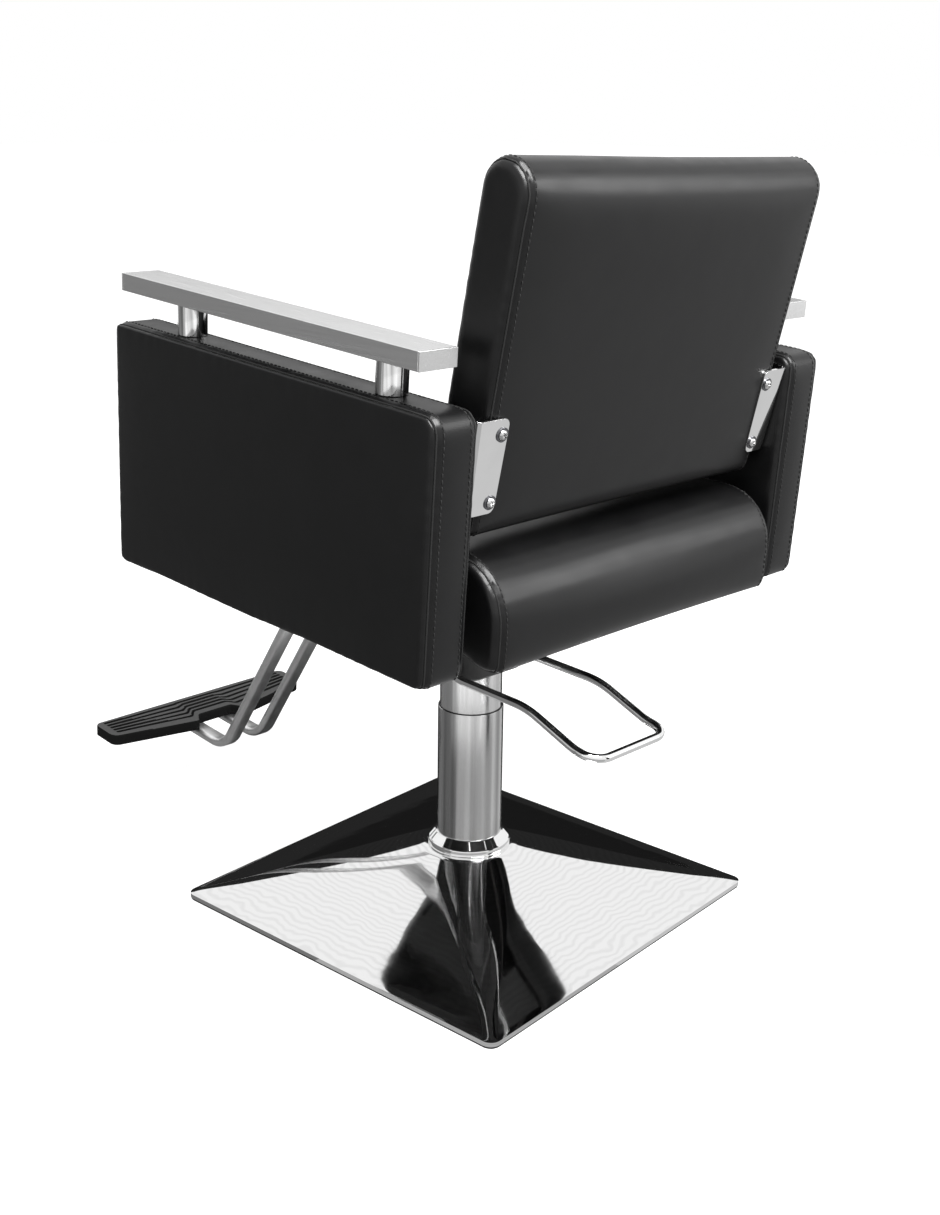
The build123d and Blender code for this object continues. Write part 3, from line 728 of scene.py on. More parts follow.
class Finishes:
    """Every finish on the chair, made once, under the record's slot name or a name of its own."""

    def __init__(self) -> None:
        """Builds the materials."""
        recipes = [
            Leather(),
            Metal("bright_chrome", (0.90, 0.90, 0.90), 0.02, 0.06, 30.0, ripple=0.07, depth=0.96),
            Metal("satin_steel", (0.70, 0.70, 0.70), 0.16, 0.28, 420.0, (1, 1, 0.01), scratch=0.03,
                  streak=90.0, depth=0.62),
            Metal("satin_bend", (0.95, 0.95, 0.95), 0.34, 0.42, 60.0, scratch=0.02, depth=0.92),
            Metal("satin_column", (0.82, 0.82, 0.82), 0.14, 0.24, 420.0, (1, 1, 0.01), scratch=0.03,
                  streak=60.0, depth=0.42),
            Metal("drawn_chrome", (0.84, 0.84, 0.84), 0.06, 0.14, 420.0, (1, 1, 0.01), scratch=0.02,
                  streak=160.0, depth=0.45),
            Metal("ground_chrome", (0.92, 0.92, 0.92), 0.16, 0.24, 420.0, (1, 1, 0.01), scratch=0.02,
                  streak=60.0, depth=0.70),
            # The washers' near-black grey is painted shade: the shade in the ring round each screw head.
            Metal("dark_washer", (0.16, 0.16, 0.17), 0.20, 0.30, 160.0, scratch=0.05),
            PressedChrome(),
            Metal("plain_steel", (0.50, 0.50, 0.51), 0.30, 0.45, 160.0, scratch=0.10),
            Metal("brushed_aluminium", (0.84, 0.84, 0.84), 0.20, 0.28, 420.0, (1, 0.01, 1), scratch=0.03,
                  depth=0.95),
            Metal("cage_brass", (0.78, 0.56, 0.25), 0.25, 0.40, 120.0, scratch=0.08),
            Moulded("black_paint", grey(0.010), grey(0.016), 0.35, 0.50),
            # rubber_black is kept near black, painted shade on the pad's sides; trodden_rubber is its paler
            # copy, painted light on the tops of the pad's ribs.
            Moulded("rubber_black", grey(0.004), grey(0.008), 0.55, 0.70, 900.0, shine=0.08),
            Moulded("trodden_rubber", grey(0.050), grey(0.075), 0.42, 0.52, 900.0, shine=0.25),
            Moulded("black_plastic", grey(0.012), grey(0.018), 0.38, 0.50, 700.0),
            Moulded("plywood", (0.006, 0.005, 0.005), (0.014, 0.012, 0.011), 0.55, 0.75, 90.0, (1, 0.08, 6)),
            Moulded("seam_thread", grey(0.002), grey(0.006), 0.70, 0.85, 2000.0),
        ]
        self.by_slot = {recipe.name: recipe.build() for recipe in recipes}

    def __getitem__(self, slot: str) -> bpy.types.Material:
        """The material under a slot's or a finish's name."""
        return self.by_slot[slot]

    def dress_frame(self) -> None:
        """Puts the finishes in the slots of the CAD nodes that stay shown."""
        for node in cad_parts.values():
            for index, had in enumerate(node.data.materials):
                slot = had.name.split(".")[0] if had else "plain_steel"
                node.data.materials[index] = self.by_slot.get(slot, self.by_slot["plain_steel"])


# ---------------------------------------------------------------- repeats
class Spread(Enum):
    """How a repeated small piece is set out."""

    ALONG_PATH = "along_path"
    AT_POINTS = "at_points"


@dataclass
class Repeater:
    """Sets out copies of one small piece with a Geometry Nodes tree.

    Each guide point carries the direction that its surface faces, in the attribute `facing`.
    """

    spread: Spread
    spacing: float = 0.0
    tree: bpy.types.NodeTree = field(init=False)
    sockets: dict[str, str] = field(init=False)

    def __post_init__(self) -> None:
        """Builds the tree with its named inputs."""
        self.tree = bpy.data.node_groups.new(f"repeat_{self.spread.value}", "GeometryNodeTree")
        face = self.tree.interface
        self.sockets = {}
        for label, kind in (("Guide", "NodeSocketGeometry"), ("Spacing", "NodeSocketFloat"),
                            ("Piece", "NodeSocketObject"), ("Finish", "NodeSocketMaterial")):
            self.sockets[label] = face.new_socket(label, in_out="INPUT", socket_type=kind).identifier
        face.new_socket("Result", in_out="OUTPUT", socket_type="NodeSocketGeometry")
        start = self._node("NodeGroupInput")
        copies = self._node("GeometryNodeInstanceOnPoints")
        facing = self._node("GeometryNodeInputNamedAttribute")
        facing.data_type = "FLOAT_VECTOR"
        facing.inputs["Name"].default_value = "facing"
        up = self._node("FunctionNodeAlignRotationToVector")
        up.axis = "Z"
        self._join(facing.outputs["Attribute"], up.inputs["Vector"])
        points = start.outputs["Guide"]
        if self.spread is Spread.ALONG_PATH:
            points = self._along(start, up)
        self._join(points, copies.inputs["Points"])
        self._join(up.outputs["Rotation"], copies.inputs["Rotation"])
        source = self._node("GeometryNodeObjectInfo")
        self._join(start.outputs["Piece"], source.inputs["Object"])
        self._join(source.outputs["Geometry"], copies.inputs["Instance"])
        real = self._node("GeometryNodeRealizeInstances")
        self._join(copies.outputs["Instances"], real.inputs["Geometry"])
        dress = self._node("GeometryNodeSetMaterial")
        self._join(real.outputs["Geometry"], dress.inputs["Geometry"])
        self._join(start.outputs["Finish"], dress.inputs["Material"])
        self._join(dress.outputs["Geometry"], self._node("NodeGroupOutput").inputs["Result"])

    def _node(self, kind: str) -> bpy.types.Node:
        """Adds a node."""
        return self.tree.nodes.new(kind)

    def _join(self, source: bpy.types.NodeSocket, target: bpy.types.NodeSocket) -> None:
        """Links an output to an input."""
        self.tree.links.new(source, target)

    def _along(self, start: bpy.types.Node, up: bpy.types.Node) -> bpy.types.NodeSocket:
        """Spaces points along the guide and turns each copy to lie along it.

        Args:
            start: The tree's inputs.
            up: The node that turns each copy to face away from the surface.

        Returns:
            The evenly spaced points.
        """
        curve = self._node("GeometryNodeMeshToCurve")
        even = self._node("GeometryNodeResampleCurve")
        even.mode = "LENGTH"
        self._join(start.outputs["Guide"], curve.inputs["Mesh"])
        self._join(curve.outputs["Curve"], even.inputs["Curve"])
        self._join(start.outputs["Spacing"], even.inputs["Length"])
        lie = self._node("FunctionNodeAlignRotationToVector")
        lie.axis = "X"
        self._join(self._node("GeometryNodeInputTangent").outputs["Tangent"], lie.inputs["Vector"])
        self._join(lie.outputs["Rotation"], up.inputs["Rotation"])
        up.pivot_axis = "X"
        return even.outputs["Curve"]

    def set_out(self, name: str, guides: Sequence[Run],
                piece: bpy.types.Object, finish: bpy.types.Material) -> bpy.types.Object:
        """Makes one plain mesh of all the copies.

        Args:
            name: Name of the result.
            guides: Runs of (point, facing); a run of one point is a single place.
            piece: The small piece, drawn at the origin with +Z away from the surface.
            finish: Material of the copies.

        Returns:
            The result, with no modifier on it.
        """
        mesh = bpy.data.meshes.new(name + "_guide")
        points = [pair for run in guides for pair in run]
        edges = []
        at = 0
        for run in guides:
            edges += [(at + i, at + i + 1) for i in range(len(run) - 1)]
            at += len(run)
        mesh.from_pydata([tuple(p) for p, _ in points], edges, [])
        facing = mesh.attributes.new("facing", "FLOAT_VECTOR", "POINT")
        facing.data.foreach_set("vector", [c for _, n in points for c in n])
        guide = bpy.data.objects.new(name, mesh)
        bpy.context.scene.collection.objects.link(guide)
        modifier = guide.modifiers.new("repeat", "NODES")
        modifier.node_group = self.tree
        modifier[self.sockets["Spacing"]] = self.spacing
        modifier[self.sockets["Piece"]] = piece
        modifier[self.sockets["Finish"]] = finish
        settle(guide)
        guide.data.polygons.foreach_set("use_smooth", [True] * len(guide.data.polygons))
        bpy.data.objects.remove(piece)
        return guide


@dataclass(frozen=True)
class Stitch:
    """One stitch: a short thread that dips into the leather at both ends.

    Attributes:
        pitch: Distance from one stitch to the next.
        sunk: Share of its height that lies in the leather at its middle.
        swells: (place along it, share of its full thickness) at each section.
    """

    length: float = 0.0046
    width: float = 0.0014
    height: float = 0.0008
    pitch: float = 0.0062
    sunk: float = 0.55
    swells: tuple[Point2, ...] = ((-0.5, 0.25), (-0.35, 0.9), (0.0, 1.0), (0.35, 0.9), (0.5, 0.25))

    def build(self, thread: bpy.types.Material) -> bpy.types.Object:
        """Makes the stitch at the origin, lying along X.

        Args:
            thread: Its finish.

        Returns:
            The stitch.
        """
        rings = [[Vector((self.length * place, self.width / 2 * share * y,
                          self.height * (share - self.sunk) + self.height / 2 * z))
                  for y, z in circle(1.0, 6)] for place, share in self.swells]
        return make_piece("stitch", *skin(rings), thread)


# ---------------------------------------------------------------- upholstery
@dataclass
class Cushion:
    """A padded form cut as one wrap between two side faces, with a stitched seam round each.

    Attributes:
        name: Name of the piece.
        outline: (y, z) side outline before it swells.
        x0: Right side face.
        x1: Left side face.
        edge: Rounding where the wrap meets the side faces.
        place: Takes a drawn point to the chair.
        swell: Furthest that a point may move out.
        pressure: Cloth pressure.
        voxel: Size of the remeshed faces.
        seam_in: Distance of the seam from the side face.
        seam_depth: How far the seam draws the leather in.
        seam_reach: How far to each side the seam draws it.
        seam_thread_sunk: Depth of the seam's thread under the drawn surface.
        topstitch_in: Distance of the stitches from the side face.
        pucker_rise: Height of the puckers beside the seam.
        pucker_reach: How far the puckers spread from it.
        pucker_from: Distance at which they reach their full height.
        pucker_rate: Radians of pucker to the metre of seam.
        pucker_sway: How far the puckers' spacing wanders, in radians.
        sway_rate: Radians of that wandering to the metre.
        fade_rate: Radians to the metre at which the puckers grow and fade.
        frames: Steps of the cloth.
        stretch_stiffness: How hard the cloth is to stretch or squeeze.
        bend_stiffness: How hard it is to bend.
        cloth_quality: Sub-steps of each step.
        reshape: Optional last change to the drawn form.
        piece: The cushion, once it is built.
        seams: (point, facing) pairs along each seam, once it is built.
        topstitches: The same along each row of stitches.
    """

    name: str
    outline: list[Point2]
    x0: float
    x1: float
    edge: float
    place: Place
    swell: float
    pressure: float = 4.0
    voxel: float = 0.006
    seam_in: float = 0.0045
    seam_depth: float = 0.0022
    seam_reach: float = 0.0026
    seam_thread_sunk: float = 0.0014
    topstitch_in: float = 0.0125
    pucker_rise: float = 0.00030
    pucker_reach: float = 0.008
    pucker_from: float = 0.004
    pucker_rate: float = 330.0
    pucker_sway: float = 2.2
    sway_rate: float = 47.0
    fade_rate: float = 23.0
    frames: int = 20
    stretch_stiffness: float = 30.0
    bend_stiffness: float = 4.0
    cloth_quality: int = 4
    reshape: Place = upright
    piece: bpy.types.Object = field(init=False)
    seams: list[Run] = field(init=False)
    topstitches: list[Run] = field(init=False)

    def build(self, finish: bpy.types.Material) -> bpy.types.Object:
        """Draws the form, swells it as cloth, and sets it in place with its seams pressed in.

        Args:
            finish: The leather.

        Returns:
            The finished cushion.
        """
        rings = []
        steps = 5
        for x, sign in ((self.x0, 1), (self.x1, -1)):
            turn = []
            for k in range(steps + 1):
                angle = math.pi / 2 * k / steps
                inset = self.edge * (1 - math.sin(angle))
                along = self.edge * (1 - math.cos(angle))
                turn.append([Vector((x + sign * along, y, z))
                             for y, z in inset_outline(self.outline, inset)])
            rings += turn if sign == 1 else turn[::-1]
        verts, faces = skin(rings)
        self.piece = make_piece(self.name, [self.reshape(v) for v in verts], faces, finish)
        remesh = self.piece.modifiers.new("skin", "REMESH")
        remesh.mode = "VOXEL"
        remesh.voxel_size = self.voxel
        settle(self.piece)
        self._inflate()
        finer = self.piece.modifiers.new("finer", "SUBSURF")
        finer.levels = 1
        finer.render_levels = 1
        settle(self.piece)
        self._press_seams()
        mesh = self.piece.data
        mesh.materials.clear()
        mesh.materials.append(finish)
        mesh.polygons.foreach_set("use_smooth", [True] * len(mesh.polygons))
        for vertex in mesh.vertices:
            vertex.co = self.place(vertex.co)
        mesh.update()
        log.info("%s: %d faces", self.name, len(mesh.polygons))
        return self.piece

    def _inflate(self) -> None:
        """Swells the form under air pressure, held along its seams, and caps the travel."""
        rest = [v.co.copy() for v in self.piece.data.vertices]
        held = self.piece.vertex_groups.new(name="held")
        reach = self.voxel * 1.2
        rim = [v.index for v in self.piece.data.vertices
               if min(abs(v.co.x - self.x0), abs(v.co.x - self.x1)) < reach and self._near_outline(v.co)]
        held.add(rim, 1.0, "REPLACE")
        cloth = self.piece.modifiers.new("cloth", "CLOTH")
        cloth.settings.use_pressure = True
        cloth.settings.uniform_pressure_force = self.pressure
        cloth.settings.effector_weights.gravity = 0.0
        cloth.settings.vertex_group_mass = "held"
        cloth.settings.tension_stiffness = self.stretch_stiffness
        cloth.settings.compression_stiffness = self.stretch_stiffness
        cloth.settings.bending_stiffness = self.bend_stiffness
        cloth.settings.quality = self.cloth_quality
        cloth.point_cache.frame_end = self.frames
        scene = bpy.context.scene
        for number in range(1, self.frames + 1):
            scene.frame_set(number)
        settle(self.piece)
        scene.frame_set(1)
        for vertex, start in zip(self.piece.data.vertices, rest):
            travel = vertex.co - start
            if travel.length > 1e-9:
                eased = self.swell * math.tanh(travel.length / self.swell)
                vertex.co = start + travel * (eased / travel.length)
        self.piece.vertex_groups.clear()

    def _near_outline(self, point: Vector) -> bool:
        """Whether a point lies by the rim of a side face."""
        return min((point.y - y) ** 2 + (point.z - z) ** 2 for y, z in self.outline) < (2 * self.voxel) ** 2

    def runs(self, inward: float) -> list[Run]:
        """The two rim lines, laid on the drawn surface.

        Args:
            inward: Distance of the line from the side face, along the wrap.

        Returns:
            For each side face, the (point, facing) pairs of its closed line.
        """
        tree = BVHTree.FromPolygons([v.co for v in self.piece.data.vertices],
                                    [p.vertices for p in self.piece.data.polygons])
        lines = []
        for x, sign in ((self.x0, 1), (self.x1, -1)):
            line = []
            for y, z in self.outline:
                probe = self.reshape(Vector((x + sign * inward, y, z)))
                spot, facing, _, _ = tree.find_nearest(probe)
                line.append((spot.copy(), facing.copy()))
            lines.append(line + line[:1])
        return lines

    def _press_seams(self) -> None:
        """Draws the leather into each seam and puckers it lightly beside the thread."""
        self.seams = self.runs(self.seam_in)
        self.topstitches = self.runs(self.topstitch_in)
        dense = []
        cuts = 6
        for line in self.seams:
            walked = 0.0
            for (a, _), (b, _) in zip(line, line[1:]):
                for k in range(cuts):
                    dense.append((a.lerp(b, k / cuts), walked + (b - a).length * k / cuts))
                walked += (b - a).length
        near = KDTree(len(dense))
        for i, (point, _) in enumerate(dense):
            near.insert(point, i)
        near.balance()
        moved = []
        for vertex in self.piece.data.vertices:
            _, i, distance = near.find(vertex.co)
            walked = dense[i][1]
            press = self.seam_depth * math.exp(-(distance / self.seam_reach) ** 2)
            wander = self.pucker_sway * math.sin(walked * self.sway_rate)
            ripple = math.sin(walked * self.pucker_rate + wander) * math.sin(walked * self.fade_rate + 1)
            spread = math.exp(-distance / self.pucker_reach) * min(1.0, distance / self.pucker_from)
            moved.append(vertex.co - vertex.normal * (press - self.pucker_rise * ripple * spread))
        for vertex, point in zip(self.piece.data.vertices, moved):
            vertex.co = point

    def threads(self) -> list[Run]:
        """The topstitch lines, in place on the chair.

        Returns:
            The (point, facing) pairs of each line.
        """
        origin = self.place(Vector())
        return [[(self.place(p), (self.place(n) - origin).normalized()) for p, n in line]
                for line in self.topstitches]

    def seam_lines(self) -> list[list[Vector]]:
        """The seam lines, in place on the chair, just under the leather's face."""
        return [[self.place(p - n * self.seam_thread_sunk) for p, n in line] for line in self.seams]


@dataclass
class Upholstery:
    """Seat, back and arm panels, with their seams and stitches.

    Seat and arm sizes are those of the level seat unit, and the back's are those of the upright back.

    Attributes:
        roll_from: Where the seat's underside starts down to its rear roll.
        roll_low_y: Where the roll reaches its lowest.
        roll_low_z: Height of the roll's underside.
        back_drawn: Height at which the back has widened by its full share.
        back_widens: That share.
        dome_from: Share of the height from which the back's top is domed.
        dome_fall: How far the dome has fallen at the sides.
        corner_fall: How much further it falls at the corners.
        right_corner_slack: How much further yet on the right, where the leather has slackened.
        cushions: The cushions that are built so far.
    """

    finishes: Finishes
    seat_half: float = 0.2275
    seat_front: float = -0.290
    seat_rear: float = 0.259
    seat_top: float = 0.5445
    seat_under: float = 0.4435
    roll_from: float = 0.190
    roll_low_y: float = 0.232
    roll_low_z: float = 0.4320
    seat_radii: tuple[float, ...] = (0.014, 0.020, 0.020, 0.012, 0.062, 0.045)
    seat_fill: float = 0.8
    back_half: float = 0.2295
    back_front: float = -0.0625
    back_rear: float = -0.0008
    back_low: float = 0.001
    back_top: float = 0.3775
    back_radii: tuple[float, ...] = (0.010, 0.010, 0.032, 0.028)
    back_fill: float = 0.85
    back_drawn: float = 0.366
    back_widens: float = 0.0170
    dome_from: float = 0.7
    dome_fall: float = 0.011
    corner_fall: float = 0.006
    right_corner_slack: float = 0.009
    arm_front: float = -0.2815
    arm_rear: float = 0.2390
    arm_top: float = 0.6995
    arm_low_front: float = 0.4185
    arm_low_rear: float = 0.4305
    arm_inner: float = 0.2474
    arm_outer: float = 0.3072
    arm_radii: tuple[float, ...] = (0.009, 0.010, 0.019, 0.010)
    arm_fill: float = 0.95
    seam_thread_r: float = 0.0009
    cushions: list[Cushion] = field(default_factory=list)

    def build(self) -> None:
        """Builds every cushion, then the seams and stitches of all of them."""
        for cushion, node, fill in ((self.seat(), "seat_cushion", self.seat_fill),
                                    (self.back(), "back_cushion", self.back_fill)):
            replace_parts(self._upholster(cushion), node)
        for side in Side:
            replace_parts(self._upholster(self.arm(side)), f"arm_panel_{side.label}")
        self._sew()

    def _upholster(self, cushion: Cushion) -> bpy.types.Object:
        """Args:
            cushion: The cushion.

        Returns:
            The built piece.
        """
        piece = cushion.build(self.finishes["black_upholstery"])
        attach(piece, "seat")
        self.cushions.append(cushion)
        return piece

    def seat(self) -> Cushion:
        """The seat: flat under, rounded in front, with a deep rear roll.

        Returns:
            The seat's cushion, still to be built.
        """
        corners = [(self.seat_front, self.seat_under), (self.roll_from, self.seat_under),
                   (self.roll_low_y, self.roll_low_z), (self.seat_rear, self.roll_low_z),
                   (self.seat_rear, self.seat_top), (self.seat_front, self.seat_top)]
        outline = rounded_outline([(*corner, radius) for corner, radius in zip(corners, self.seat_radii)], 10)
        return Cushion("seat_upholstery", outline, -self.seat_half, self.seat_half, edge=0.008,
                       place=leaned, swell=0.0065, pressure=5.0, voxel=0.0065)

    def back(self) -> Cushion:
        """The back: a flat slab with a domed top and softened upper corners.

        Returns:
            The back's cushion, still to be built.
        """
        corners = [(self.back_front, self.back_low), (self.back_rear, self.back_low),
                   (self.back_rear, self.back_top), (self.back_front, self.back_top)]
        outline = rounded_outline([(*corner, radius) for corner, radius in zip(corners, self.back_radii)])
        return Cushion("back_upholstery", outline, -self.back_half, self.back_half, edge=0.008,
                       place=reclined, swell=0.0045, pressure=4.0, voxel=0.006, reshape=self._dome_back)

    def _dome_back(self, point: Vector) -> Vector:
        """Widens the back upward and lets its top fall away towards the corners.

        Args:
            point: A point of the straight slab.

        Returns:
            The point on the domed back.
        """
        height = point.z / self.back_drawn
        share = abs(point.x) / self.back_half
        slack = self.right_corner_slack if point.x < 0 else 0.0
        fall = self.dome_fall * share ** 2 + self.corner_fall * share ** 8 + slack * share ** 5
        fall *= smooth_step((height - self.dome_from) / (1 - self.dome_from))
        return Vector((point.x * (1 + self.back_widens * height), point.y, point.z - fall))

    def arm(self, side: Side) -> Cushion:
        """An arm panel: flat faces, a rounded rear top corner, tighter corners in front.

        Args:
            side: The side that it stands on.

        Returns:
            The panel's cushion, still to be built.
        """
        corners = [(self.arm_front, self.arm_low_front), (self.arm_rear, self.arm_low_rear),
                   (self.arm_rear, self.arm_top), (self.arm_front, self.arm_top)]
        outline = rounded_outline([(*corner, radius) for corner, radius in zip(corners, self.arm_radii)])
        low, high = sorted((side.value * self.arm_inner, side.value * self.arm_outer))
        return Cushion(f"arm_upholstery_{side.label}", outline, low, high, edge=0.0045,
                       place=leaned, swell=0.0022, pressure=3.0, voxel=0.006)

    def _sew(self) -> None:
        """Lays the threads: a dark line in every seam and a topstitch beside it."""
        thread = self.finishes["seam_thread"]
        stitch = Stitch()
        runs = [line for cushion in self.cushions for line in cushion.threads()]
        rows = Repeater(Spread.ALONG_PATH, stitch.pitch).set_out("topstitching", runs,
                                                                 stitch.build(thread), thread)
        lines = merged(sweep(line[:-1], circle(self.seam_thread_r, 6), Vector((1, 0, 0)), closed=True)
                       for cushion in self.cushions for line in cushion.seam_lines())
        for piece in (rows, make_piece("seam_lines", *lines, thread)):
            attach(piece, "seat")
            log.info("%s: %d faces", piece.name, len(piece.data.polygons))


# ---------------------------------------------------------------- base and column
@dataclass
class Base:
    """The pressed square cover and the collar on it.

    Attributes:
        half: Half of the cover's width.
        corner_share: Radius of its rim's corners, as a share of its half width.
        turn: How far it is turned under the chair.
        wall: Thickness of the pressing.
        foot_z: Height of its lower edge.
        rim_z: Height at which the dome starts.
        top_z: Height of the flat round the column.
        top_half: Half of that flat's width.
        hollow: How hollow the dome's flank is; 1 is straight.
        crowding: How closely the dome's rings stand near the rim.
        rounding: How much rounder the rings get towards the column.
        rim_drop: How far under the rim the upright skirt starts.
        foot_edge: Rounding of the lower edge.
        crown_halves: Half widths of the flat's last two rings.
        crown_corner: Their corner radius, as a share of the half width.
        collar_gap: Room between collar and column.
        collar_edge: Rounding of the collar's foot and top.
        cone_in: How far the cone starts inside the lip.
        cone_step: Height of the cone's first step.
        cone_wall: Thickness at the cone's top, below its rounding.
        cone_lip: Thickness of the cone's very top.
    """

    finishes: Finishes
    half: float = 0.250
    corner_share: float = 0.052
    turn: float = math.radians(4.5)
    wall: float = 0.0015
    foot_z: float = 0.002
    rim_z: float = 0.008
    top_z: float = 0.072
    top_half: float = 0.056
    hollow: float = 1.15
    crowding: float = 1.25
    rounding: float = 0.93
    rim_drop: float = 0.00192
    foot_edge: float = 0.0006
    crown_halves: Point2 = (0.050, 0.0412)
    crown_corner: float = 0.982
    collar_r: float = 0.0515
    collar_gap: float = 0.00005
    collar_edge: float = 0.0006
    column_r: float = 0.040
    lip_h: float = 0.0085
    lip_edge: float = 0.0015
    cone_h: float = 0.0095
    cone_in: float = 0.0022
    cone_step: float = 0.0003
    cone_wall: float = 0.0026
    cone_lip: float = 0.0012

    def build(self) -> None:
        """Builds the cover and the collar."""
        chrome = self.finishes["bright_chrome"]
        pressed = self.finishes["pressed_chrome"]
        cover = make_piece("base_pressing", *skin(self._cover_rings(), looped=True), pressed, 50)
        collar = make_piece("column_collar", *lathe(self._collar_section(), 128), chrome, 30)
        for piece, node in ((cover, "base_cover"), (collar, "base_collar")):
            fit(piece, node, "base")

    def _square(self, half: float, corner: float, z: float) -> Ring:
        """One turned square ring with rounded corners.

        Args:
            half: Half of its width.
            corner: Radius of its corners.
            z: Its height.

        Returns:
            The ring.
        """
        turn = Matrix.Rotation(self.turn, 3, "Z")
        ring = []
        arc_steps, side_steps = 16, 12
        for quarter in range(4):
            spin = Matrix.Rotation(quarter * math.pi / 2, 3, "Z")
            centre = Vector((half - corner, half - corner, z))
            for k in range(arc_steps + 1):
                angle = math.pi / 2 * k / arc_steps
                arm = Vector((math.cos(angle), math.sin(angle), 0)) * corner
                ring.append(turn @ spin @ (centre + arm))
            for k in range(1, side_steps):
                x = (half - corner) * (1 - 2 * k / side_steps)
                ring.append(turn @ spin @ Vector((x, half, z)))
        return ring

    def _cover_rings(self) -> list[Ring]:
        """The cover's closed wall: out over the dome, round the rim, and back underneath.

        Returns:
            Its rings in order.
        """
        steps = 48
        shares = [(k / steps) ** self.crowding for k in range(steps + 1)]
        rings = []
        for inset, order in ((0.0, shares), (self.wall, shares[::-1])):
            part = []
            for t in order:
                half = self.half + (self.top_half - self.half) * t - inset
                corner = half * (self.corner_share + self.rounding * t ** 2)
                z = self.rim_z + (self.top_z - self.rim_z) * t ** self.hollow - inset
                part.append(self._square(half, corner, z))
            rim = self.half * self.corner_share
            skirt = [(0.0, self.rim_z - self.rim_drop), (0.0, self.foot_z + self.foot_edge),
                     (self.foot_edge, self.foot_z)]
            if not inset:
                part = [self._square(self.half - d, rim, z) for d, z in reversed(skirt)] + part
            else:
                part.append(self._square(self.half - inset, rim - inset / 2, self.foot_z))
            crown = [self._square(r, r * self.crown_corner, self.top_z - inset) for r in self.crown_halves]
            rings += part + crown if not inset else crown[::-1] + part
        return rings

    def _collar_section(self) -> list[Point2]:
        """The collar's wall: a rounded lip with a cone above it.

        Returns:
            The (radius, height) points.
        """
        lip = self.top_z + self.lip_h
        top = lip + self.cone_h
        inner = self.column_r + self.collar_gap
        edge = self.lip_edge
        shoulder = edge * 0.3
        foot_r = self.collar_r - self.collar_edge
        return [(foot_r, self.top_z), (self.collar_r, self.top_z + edge),
                (self.collar_r, lip - edge), (self.collar_r - shoulder, lip - shoulder),
                (self.collar_r - edge, lip), (self.collar_r - self.cone_in, lip + self.cone_step),
                (self.column_r + self.cone_wall, top - self.collar_edge),
                (self.column_r + self.cone_lip, top), (inner, top), (inner, self.top_z)]


@dataclass
class Column:
    """The fixed outer tube and the tube that slides in it.

    Attributes:
        outer_radii: Outer and bore radius of the fixed tube.
        sliding_radii: The same of the sliding tube.
    """

    finishes: Finishes
    outer_radii: Point2 = (0.040, 0.038)
    sliding_radii: Point2 = (0.0377, 0.0352)

    def build(self) -> None:
        """Builds both tubes to the heights that the frame gives."""
        for node, name, body, slot, finish, radii in (
                ("column_tube", "outer_column", "base", "satin_steel", "satin_column", self.outer_radii),
                ("lifter_tube", "sliding_column", "seat", "bright_chrome", "ground_chrome",
                 self.sliding_radii)):
            low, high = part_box(node)
            section = tube_wall(*radii, low.z, high.z)
            tube = make_piece(name, *lathe(section, 128), self.finishes[finish], 40)
            fit(tube, node, body)


@dataclass
class Pedal:
    """The bent rod that the stylist pumps, and the spring that brings it back up.

    Attributes:
        rod_r: Radius of the rod.
        half: Half of the loop's width.
        shaft_z: Height of the shaft that it turns on.
        hub_reach: Distance from the shaft to the rod's start.
        run: (y, z) corners of one side, from the hub outward.
        bends: Bend radius at each corner.
        spring_r: Radius of the spring's coil.
        wire_r: Radius of its wire.
        spring_turns: Turns of the coil.
        plunger_y: How far the plunger stands behind the column's axis.
        stroke: How far the plunger travels; not used.
    """

    finishes: Finishes
    rod_r: float = 0.005
    half: float = 0.062
    shaft_z: float = 0.332
    hub_reach: float = 0.013
    run: tuple[Point2, ...] = ((0.044, 0.3135), (0.150, 0.310), (0.222, 0.2825), (0.254, 0.277))
    bends: tuple[float, ...] = (0.045, 0.110, 0.060, 0.022)
    spring_r: float = 0.005
    wire_r: float = 0.0007
    spring_turns: int = 8
    plunger_y: float = 0.0265
    stroke: float = 0.0105

    def build(self) -> None:
        """Builds the rod and the pump's return spring."""
        self._rod()
        self._return_spring()

    def _return_spring(self) -> None:
        """Coils the return spring between the ends of its CAD node."""
        low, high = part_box("plunger_spring")
        steps = 24 * self.spring_turns
        line = []
        for k in range(steps + 1):
            angle = math.tau * self.spring_turns * k / steps
            z = low.z + self.wire_r + (high.z - low.z - 2 * self.wire_r) * k / steps
            line.append(Vector((self.spring_r * math.cos(angle),
                                self.plunger_y + self.spring_r * math.sin(angle), z)))
        spring = make_piece("return_spring", *sweep(line, circle(self.wire_r, 8), Vector((0, 0, 1))),
                            self.finishes["plain_steel"], 60)
        fit(spring, "plunger_spring")
        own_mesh(spring)

    def _rod(self) -> None:
        """Sweeps the rod out from one hub, across, and back to the other."""
        first_y, first_z = self.run[0]
        drop = math.atan2(self.shaft_z - first_z, first_y)
        start = (self.hub_reach * math.cos(drop), self.shaft_z - self.hub_reach * math.sin(drop))
        side = [start, *self.run]
        corners = [Vector((self.half, y, z)) for y, z in side]
        corners += [Vector((-self.half, y, z)) for y, z in reversed(side)]
        line = bent_path(corners, [*self.bends, *reversed(self.bends)], 12)
        loop = make_piece("pedal_rod", *sweep(line, circle(self.rod_r, 24), Vector((1, 0, 0))),
                          self.finishes["bright_chrome"], 50)
        fit(loop, "pedal_loop", "pedal")


